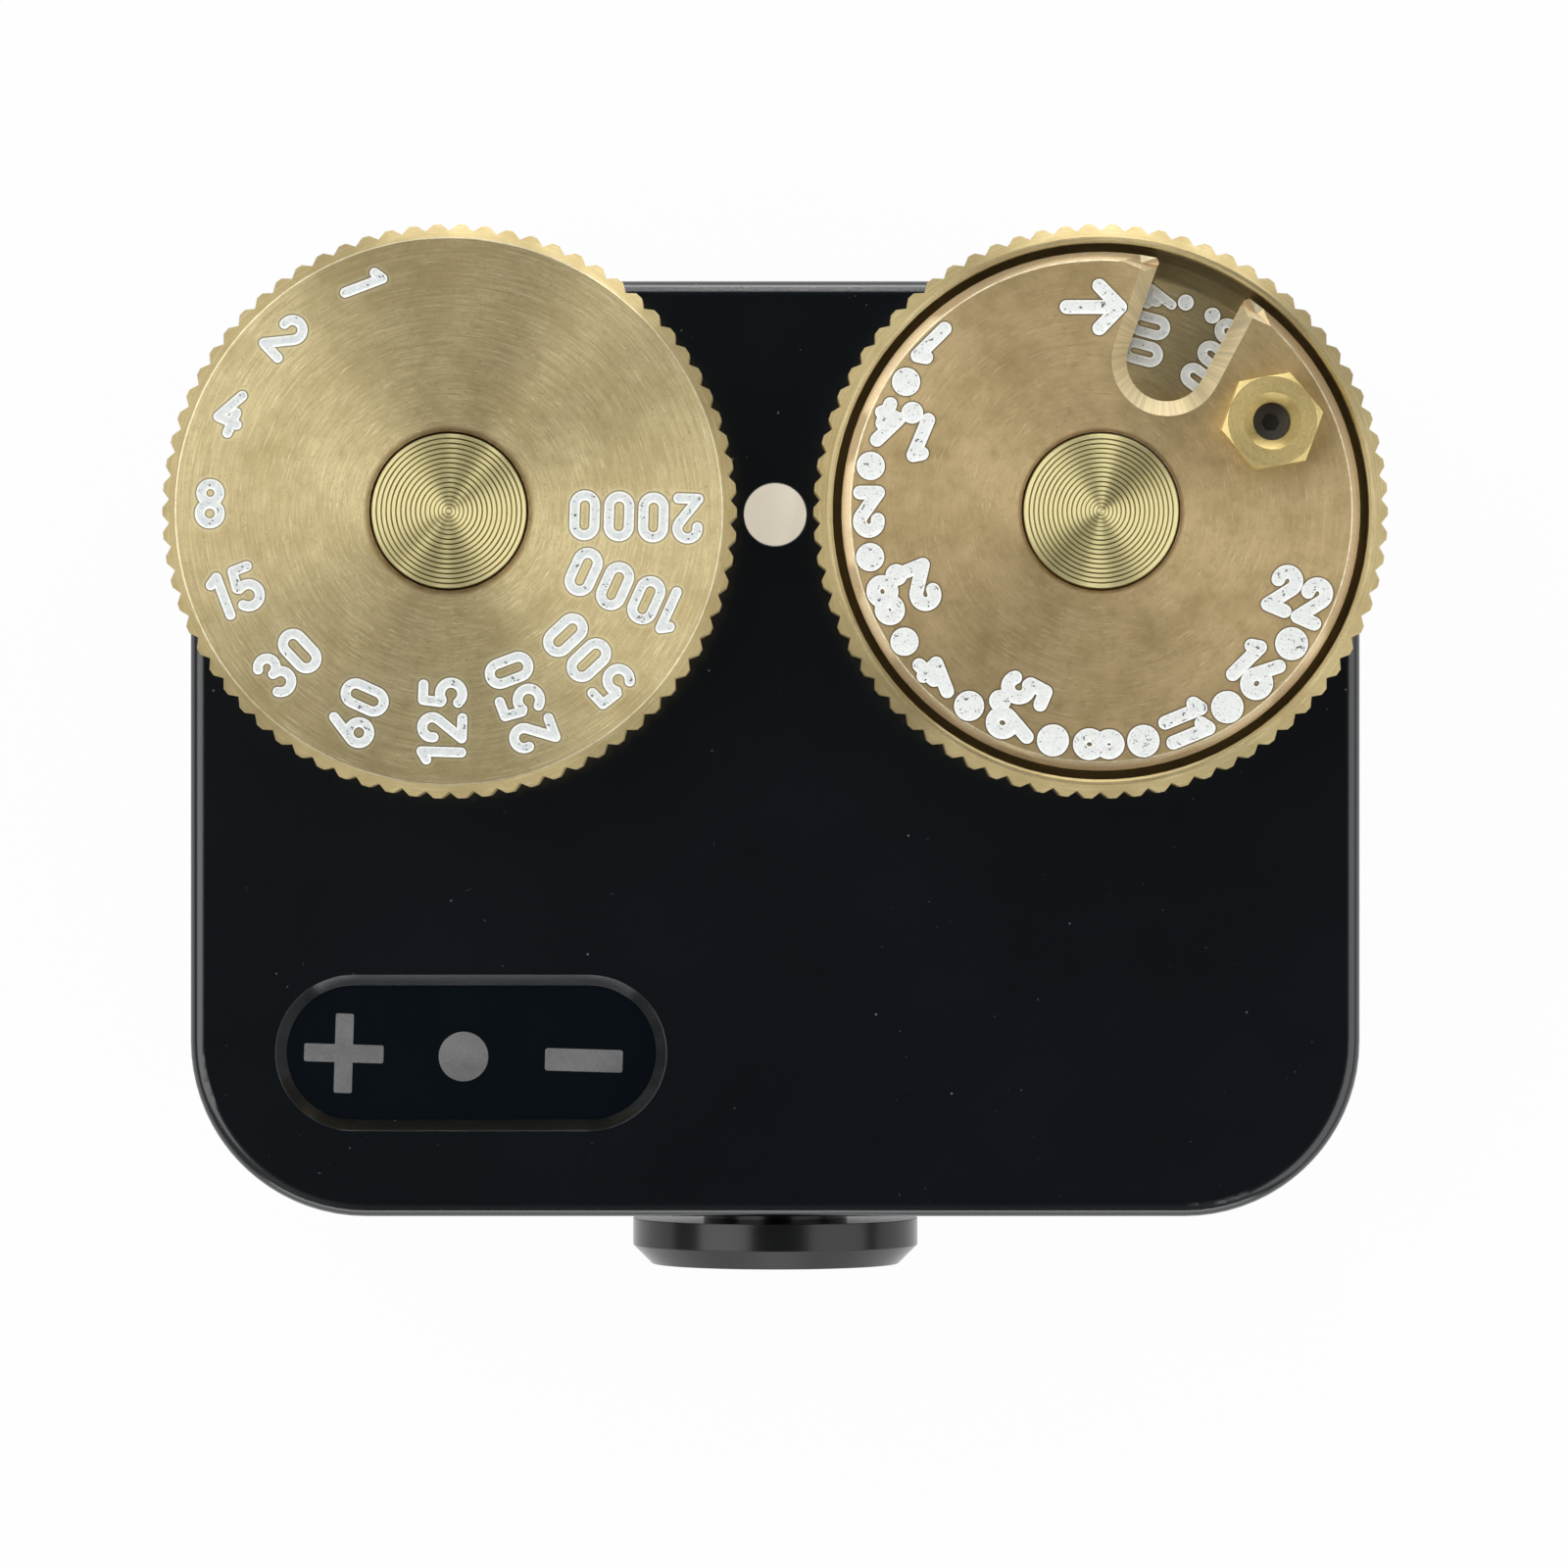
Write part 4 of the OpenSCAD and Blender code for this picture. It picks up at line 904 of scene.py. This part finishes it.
# Dots between the apertures: their radii, how far out the first lies, its angle, and the step
# to the next. Larger dots lie further in by as much as they are larger
DOT_RADII = (0.48, 0.48, 0.48, 0.48, 0.51, 0.545, 0.55, 0.55, 0.56)
DOT_REACH, DOT_ANGLE, DOT_STOP = 7.90, 145.95, 22.466
ARROW = ([(-0.95, 0), (0.85, 0)], [(0.15, 0.72), (0.85, 0), (0.15, -0.72)])
ARROW_REACH, ARROW_ANGLE = 6.95, 91.5
SPEED_REACH, SPEED_ANGLE, SPEED_PITCH = 7.5, 165.2, 0.95
# Dots at the thirds of a stop between two film speeds
THIRD_REACH, THIRD_R = 7.68, 0.27


def time_marks():
    return [inward(text, LEFT_DIAL, TIME_ANGLE - STOP * i, TIME_EDGE, gap=TIME_GAP, **TIME_FONT)
            for i, text in enumerate(TIMES)]


def aperture_marks():
    """The apertures, the dots between them, and the arrow that points to the notch."""
    marks = [outward(text, APERTURE_MIDDLE, APERTURE_ANGLE + STOP * i, APERTURE_EDGE,
                     gap=APERTURE_GAP, **APERTURE_FONT) for i, text in enumerate(APERTURES)]
    for i, radius in enumerate(DOT_RADII):
        reach = DOT_REACH - (radius - DOT_RADII[0])
        marks.append([Stroke([at(APERTURE_MIDDLE, reach, DOT_ANGLE + DOT_STOP * i)], radius)])
    middle = at(APERTURE_MIDDLE, ARROW_REACH, ARROW_ANGLE)
    marks.append([Stroke([local(middle, 0.0, *place) for place in line], APERTURE_FONT["half"])
                  for line in ARROW])
    return marks


def speed_marks():
    """The film speeds on the cup's floor, with two dots between each and the next."""
    marks = []
    for i, text in enumerate(SPEEDS):
        angle = SPEED_ANGLE - STOP * i
        places = [at(RIGHT_DIAL, SPEED_REACH - SPEED_PITCH * k, angle) for k in range(len(text))]
        marks.append([stroke for char, place in zip(text, places)
                      for stroke in digit(char, place, angle + 180, **SPEED_FONT)])
        if i < len(SPEEDS) - 1:
            marks += [[Stroke([at(RIGHT_DIAL, THIRD_REACH, angle - STOP * k / 3)], THIRD_R)]
                      for k in (1, 2)]
    return marks


engrave("shutter_dial_marked", DIAL_TOP, time_marks(), "shutter", "shutter_dial",
        [mats["dial_left"], mats["paint"]], DIAL_SINK, drop=dial_drop,
        guides=edge_line(LEFT_DIAL, DIAL_EDGE - WEAR))
engrave("aperture_disc_marked", DISC_TOP, aperture_marks(), "film_speed", "aperture_disc",
        [mats["disc"], mats["paint_disc"]], DIAL_SINK, drop=disc_drop,
        guides=notch_guides() + edge_line(RIGHT_DIAL, DISC_EDGE - WEAR, before_mouth))
engrave("aperture_ring_marked", CUP_FLOOR, speed_marks(), "aperture", "aperture_ring",
        [mats["dial_right"], mats["paint_shaded"]], CUP_SINK)

# Turned caps
CAP_SIDES = 128
# One groove's profile: places across it, and its depth there, in shares of the pitch
GROOVE = ((0.21, 0.0), (0.14, 0.18), (0.07, 0.27), (-0.07, 0.27), (-0.14, 0.18), (-0.21, 0.0))
# The pitch near the middle grows from a share of the full one, by this much a millimetre out
MIDDLE_PITCH, PITCH_GROWTH, INNERMOST = 0.68, 0.32, 0.1
# The cap's rounded rim: how far inside its radius and below its top each point lies
CAP_RIM = ((0.0, 0.12), (0.02, 0.05), (0.06, 0.0))


def revolve(name, profile, centre, body, material, replaced):
    """A profile of (radius, height) points that starts and ends on the axis, turned round it."""
    bm = bmesh.new()
    rings = []
    for r, z in profile:
        places = ring(r, CAP_SIDES) if r else [(0.0, 0.0)]
        rings.append([bm.verts.new(((centre[0] + x) * MM, (centre[1] + y) * MM, z * MM))
                      for x, y in places])
    for low, high in zip(rings[:-1], rings[1:]):
        for k in range(CAP_SIDES):
            corners = (low[k % len(low)], low[(k + 1) % len(low)],
                       high[(k + 1) % len(high)], high[k % len(high)])
            bm.faces.new(list(dict.fromkeys(corners)))
    bmesh.ops.recalc_face_normals(bm, faces=bm.faces)
    shade(bm, sharp=0.6)
    new_piece(name, bm, body, [material], replaced)


def grooved_cap(name, node, centre, body, material, pitch, outermost):
    """The centre cap with its concentric turned grooves, a rounded rim and its screw below.

    The grooves start at the outermost one's radius and lie closer together near the middle.
    """
    low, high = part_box(node)
    bottom, top = low.z / MM, high.z / MM
    under = top - CAP_T
    profile = [(0.0, bottom), (CAP_SCREW_R, bottom), (CAP_SCREW_R, under), (CAP_R, under)]
    profile += [(CAP_R - inset, top - down) for inset, down in CAP_RIM]
    r = outermost
    while r > INNERMOST:
        step = pitch * min(1.0, MIDDLE_PITCH + PITCH_GROWTH * r)
        profile += [(r + aside * step, top - depth * step) for aside, depth in GROOVE]
        r -= step
    profile.append((0.0, top))
    revolve(name, profile, centre, body, material, node)


grooved_cap("shutter_cap_turned", "shutter_cap", LEFT_DIAL, "shutter", mats["cap_left"],
            pitch=0.1655, outermost=2.45)
grooved_cap("aperture_cap_turned", "aperture_cap", RIGHT_DIAL, "aperture", mats["cap_right"],
            pitch=0.160, outermost=2.43)

# Signs on the window. They stand a little turned, as in the photo
SIGN_TURN = -1.7
PLUS_LENGTH, PLUS_WIDTH, PLUS_ROUND = 2.72, 0.62, 0.07
MINUS_LENGTH, MINUS_WIDTH, MINUS_ROUND = 2.66, 0.77, 0.09
DOT_R, DOT_SIDES = 0.85, 48
# The layers of a sign: how far they draw in, and their height over the glass
SIGN_LAYERS = ((0.0, -0.05), (0.0, 0.012), (0.02, 0.025))


def rounded(corners, radius, steps=4):
    """A closed outline of right angles whose convex corners are rounded."""
    loop = []
    for k, corner in enumerate(corners):
        here = Vector(corner)
        back = (Vector(corners[k - 1]) - here).normalized()
        ahead = (Vector(corners[(k + 1) % len(corners)]) - here).normalized()
        if back.cross(ahead) > 0:
            loop.append(here)
            continue
        middle = here + radius * (back + ahead)
        start = math.atan2(-ahead.y, -ahead.x)
        turns = [start + math.pi / 2 * i / steps for i in range(steps + 1)]
        loop += [middle + radius * Vector((math.cos(turn), math.sin(turn))) for turn in turns]
    return loop


def bar(length, width):
    a, b = length / 2, width / 2
    return [(a, -b), (a, b), (-a, b), (-a, -b)]


def cross(length, width):
    a, b = length / 2, width / 2
    return [(a, -b), (a, b), (b, b), (b, a), (-b, a), (-b, b), (-a, b), (-a, -b), (-b, -b),
            (-b, -a), (b, -a), (b, -b)]


def sign(name, outline, middle):
    """A raised light grey sign on the glass, from its outline, with a soft upper edge."""
    bm = bmesh.new()
    rings = []
    for shrink, rise in SIGN_LAYERS:
        drawn_in = [(x - math.copysign(shrink, x), y - math.copysign(shrink, y))
                    for x, y in outline]
        places = [local(middle, SIGN_TURN, *place) for place in drawn_in]
        rings.append([bm.verts.new((x * MM, y * MM, (GLASS_TOP + rise) * MM))
                      for x, y in places])
    for lower, upper in zip(rings[:-1], rings[1:]):
        for k in range(len(lower)):
            j = (k + 1) % len(lower)
            bm.faces.new((lower[k], lower[j], upper[j], upper[k]))
    bm.faces.new(rings[-1])
    bm.faces.new(list(reversed(rings[0])))
    new_piece(name, bm, "case", [mats["light"]])


sign("sign_plus", rounded(cross(PLUS_LENGTH, PLUS_WIDTH), PLUS_ROUND), photo_xy(PLUS_PIXEL))
sign("sign_dot", ring(DOT_R, DOT_SIDES), photo_xy(DOT_PIXEL))
sign("sign_minus", rounded(bar(MINUS_LENGTH, MINUS_WIDTH), MINUS_ROUND), photo_xy(MINUS_PIXEL))

# Materials of the CAD nodes
finish = {
    "case": ["case_shell", "base_plate"],
    "button": ["button_cap", "button_bush", "sensor_bezel"],
    "foot": ["shoe_foot"],
    "screw": ["base_screws", "foot_screws", "shutter_spindle", "aperture_spindle",
              "friction_washer", "button_clip"],
    "nut": ["shutter_nut", "aperture_nut"],
    "index": ["index_dot"],
    "glass": ["led_window"],
    "lens": ["sensor_lens"],
    "dark": ["led_mask", "controller_chip", "battery_tray", "tact_switch", "photodiode",
             "shutter_encoder", "aperture_encoder"],
    "set_screw": ["speed_set_screw"],
    "plunger": ["switch_plunger", "shutter_rotor", "aperture_rotor"],
    "board": ["circuit_board"],
    "ceramic": ["small_components"],
    "chip": ["indicator_leds"],
    "cell": ["battery_cell"],
    "gilt": ["cell_spring", "rim_spring"],
    "post": ["speed_post"],
    "cap_left": ["shutter_cap", "shutter_bushing"],
    "cap_right": ["aperture_cap", "aperture_bushing"],
    "dial_left": ["shutter_dial"],
    "dial_right": ["aperture_ring"],
    "disc": ["aperture_disc"],
}
for key, names in finish.items():
    for node in names:
        nodes[node].data.materials.clear()
        nodes[node].data.materials.append(mats[key])


# Floor
FLOOR_HALF = 3.0
FLOOR_GREY, FLOOR_WHITE = 0.80, 0.965


def floor_white():
    """White to the camera and in reflections, pale grey to the light, and clear from below."""
    mat = bpy.data.materials.new("floor_white")
    mat.use_nodes = True
    n = Nodes(mat.node_tree)
    matte = n.add("ShaderNodeBsdfDiffuse")
    n.feed(matte.inputs["Color"], (FLOOR_GREY, FLOOR_GREY, FLOOR_GREY, 1))
    glow = n.add("ShaderNodeEmission")
    n.feed(glow.inputs["Color"], (1, 1, 1, 1))
    n.feed(glow.inputs["Strength"], 1.0)
    rays = n.add("ShaderNodeLightPath").outputs
    seen = n.math("MAXIMUM", rays["Is Camera Ray"], rays["Is Glossy Ray"])
    seen = n.math("MAXIMUM", seen, rays["Is Transmission Ray"])
    upper = n.blend(n.times(seen, FLOOR_WHITE), matte.outputs[0], glow.outputs[0])
    behind = n.add("ShaderNodeNewGeometry").outputs["Backfacing"]
    clear = n.add("ShaderNodeBsdfTransparent")
    out = n.add("ShaderNodeOutputMaterial")
    n.feed(out.inputs[0], n.blend(behind, upper, clear.outputs[0]))
    return mat


floor_mesh = bpy.data.meshes.new("floor")
floor_mesh.from_pydata([(-FLOOR_HALF, -FLOOR_HALF, 0), (FLOOR_HALF, -FLOOR_HALF, 0),
                        (FLOOR_HALF, FLOOR_HALF, 0), (-FLOOR_HALF, FLOOR_HALF, 0)],
                       [], [(0, 1, 2, 3)])
floor_mesh.materials.append(floor_white())
new_object("floor", floor_mesh)

# Lamps: name, azimuth, elevation, distance, width, height and radiance
LAMPS = (
    ("panel_left", 163, 50, 1.0, 1.3, 0.8, 1.9),
    ("panel_right", 343, 38, 1.0, 1.3, 0.95, 1.15),
    ("strip_back", 80, 7, 1.0, 1.05, 0.34, 5.0),
    ("strip_tall", 90, 35, 1.0, 0.04, 0.8, 8.5),
    ("panel_front", 265, 8, 1.0, 1.2, 0.34, 2.8),
    ("spot_near", 70, 50, 0.09, 0.0054, 0.0054, 56.0),
)


def panel(name, azimuth, elevation, distance, wide, high, radiance):
    """A soft rectangular lamp that faces the object. Azimuth is measured from +X."""
    lamp = bpy.data.lights.new(name, "AREA")
    lamp.shape = "RECTANGLE"
    lamp.size, lamp.size_y = wide, high
    lamp.energy = radiance * math.pi * wide * high
    obj = new_object(name, lamp)
    a, e = math.radians(azimuth), math.radians(elevation)
    obj.location = (distance * math.cos(a) * math.cos(e), distance * math.sin(a) * math.cos(e),
                    distance * math.sin(e))
    obj.rotation_mode = "QUATERNION"
    obj.rotation_quaternion = Vector(obj.location).to_track_quat("Z", "Y")
    obj.visible_camera = False


for lamp_values in LAMPS:
    panel(*lamp_values)

# World: the light at each height of the sky, from straight below to straight above
SKY = ((0.0, 0.28), (0.3, 0.33), (0.6, 0.46), (0.8, 0.46), (0.9, 0.27), (0.95, 0.10), (1.0, 0.06))
# The room is darker behind and in front of the object than on its two sides
ENDS_SHARE, ENDS_FROM, ENDS_TO = 0.32, 0.05, 0.5
SKY_BLUE = 1.02


def studio_world():
    """A grey room that gives soft light from all round."""
    world = bpy.data.worlds.new("studio")
    world.use_nodes = True
    n = Nodes(world.node_tree)
    x, y, z = n.split(n.add("ShaderNodeTexCoord").outputs["Generated"])
    ramp = n.add("ShaderNodeValToRGB")
    n.feed(ramp.inputs[0], z)
    stops = ramp.color_ramp.elements
    stops.remove(stops[1])
    for k, (position, level) in enumerate(SKY):
        stop = stops.new(position) if k else stops[0]
        stop.position = position
        stop.color = (level, level, level * SKY_BLUE, 1)
    sideways = n.split(n.vmath("NORMALIZE", n.xyz(x, y, 0.0)))[0]
    background = n.add("ShaderNodeBackground")
    n.feed(background.inputs["Color"], ramp.outputs[0])
    n.feed(background.inputs["Strength"],
           n.span(n.math("ABSOLUTE", sideways), ENDS_FROM, ENDS_TO, ENDS_SHARE, 1.0))
    out = n.add("ShaderNodeOutputWorld")
    n.feed(out.inputs[0], background.outputs[0])
    return world


bpy.context.scene.world = studio_world()

# Camera, straight above
LENS, SENSOR, CAMERA_HEIGHT = 194.9, 36, 305.5
camera_data = bpy.data.cameras.new("camera")
camera_data.lens = LENS
camera_data.sensor_width = SENSOR
camera_data.clip_start, camera_data.clip_end = 0.01, 20
camera = new_object("camera", camera_data)
camera.location = (VIEW_MIDDLE[0] * MM, VIEW_MIDDLE[1] * MM, CAMERA_HEIGHT * MM)
bpy.context.scene.camera = camera
bpy.context.scene.view_settings.view_transform = "Standard"
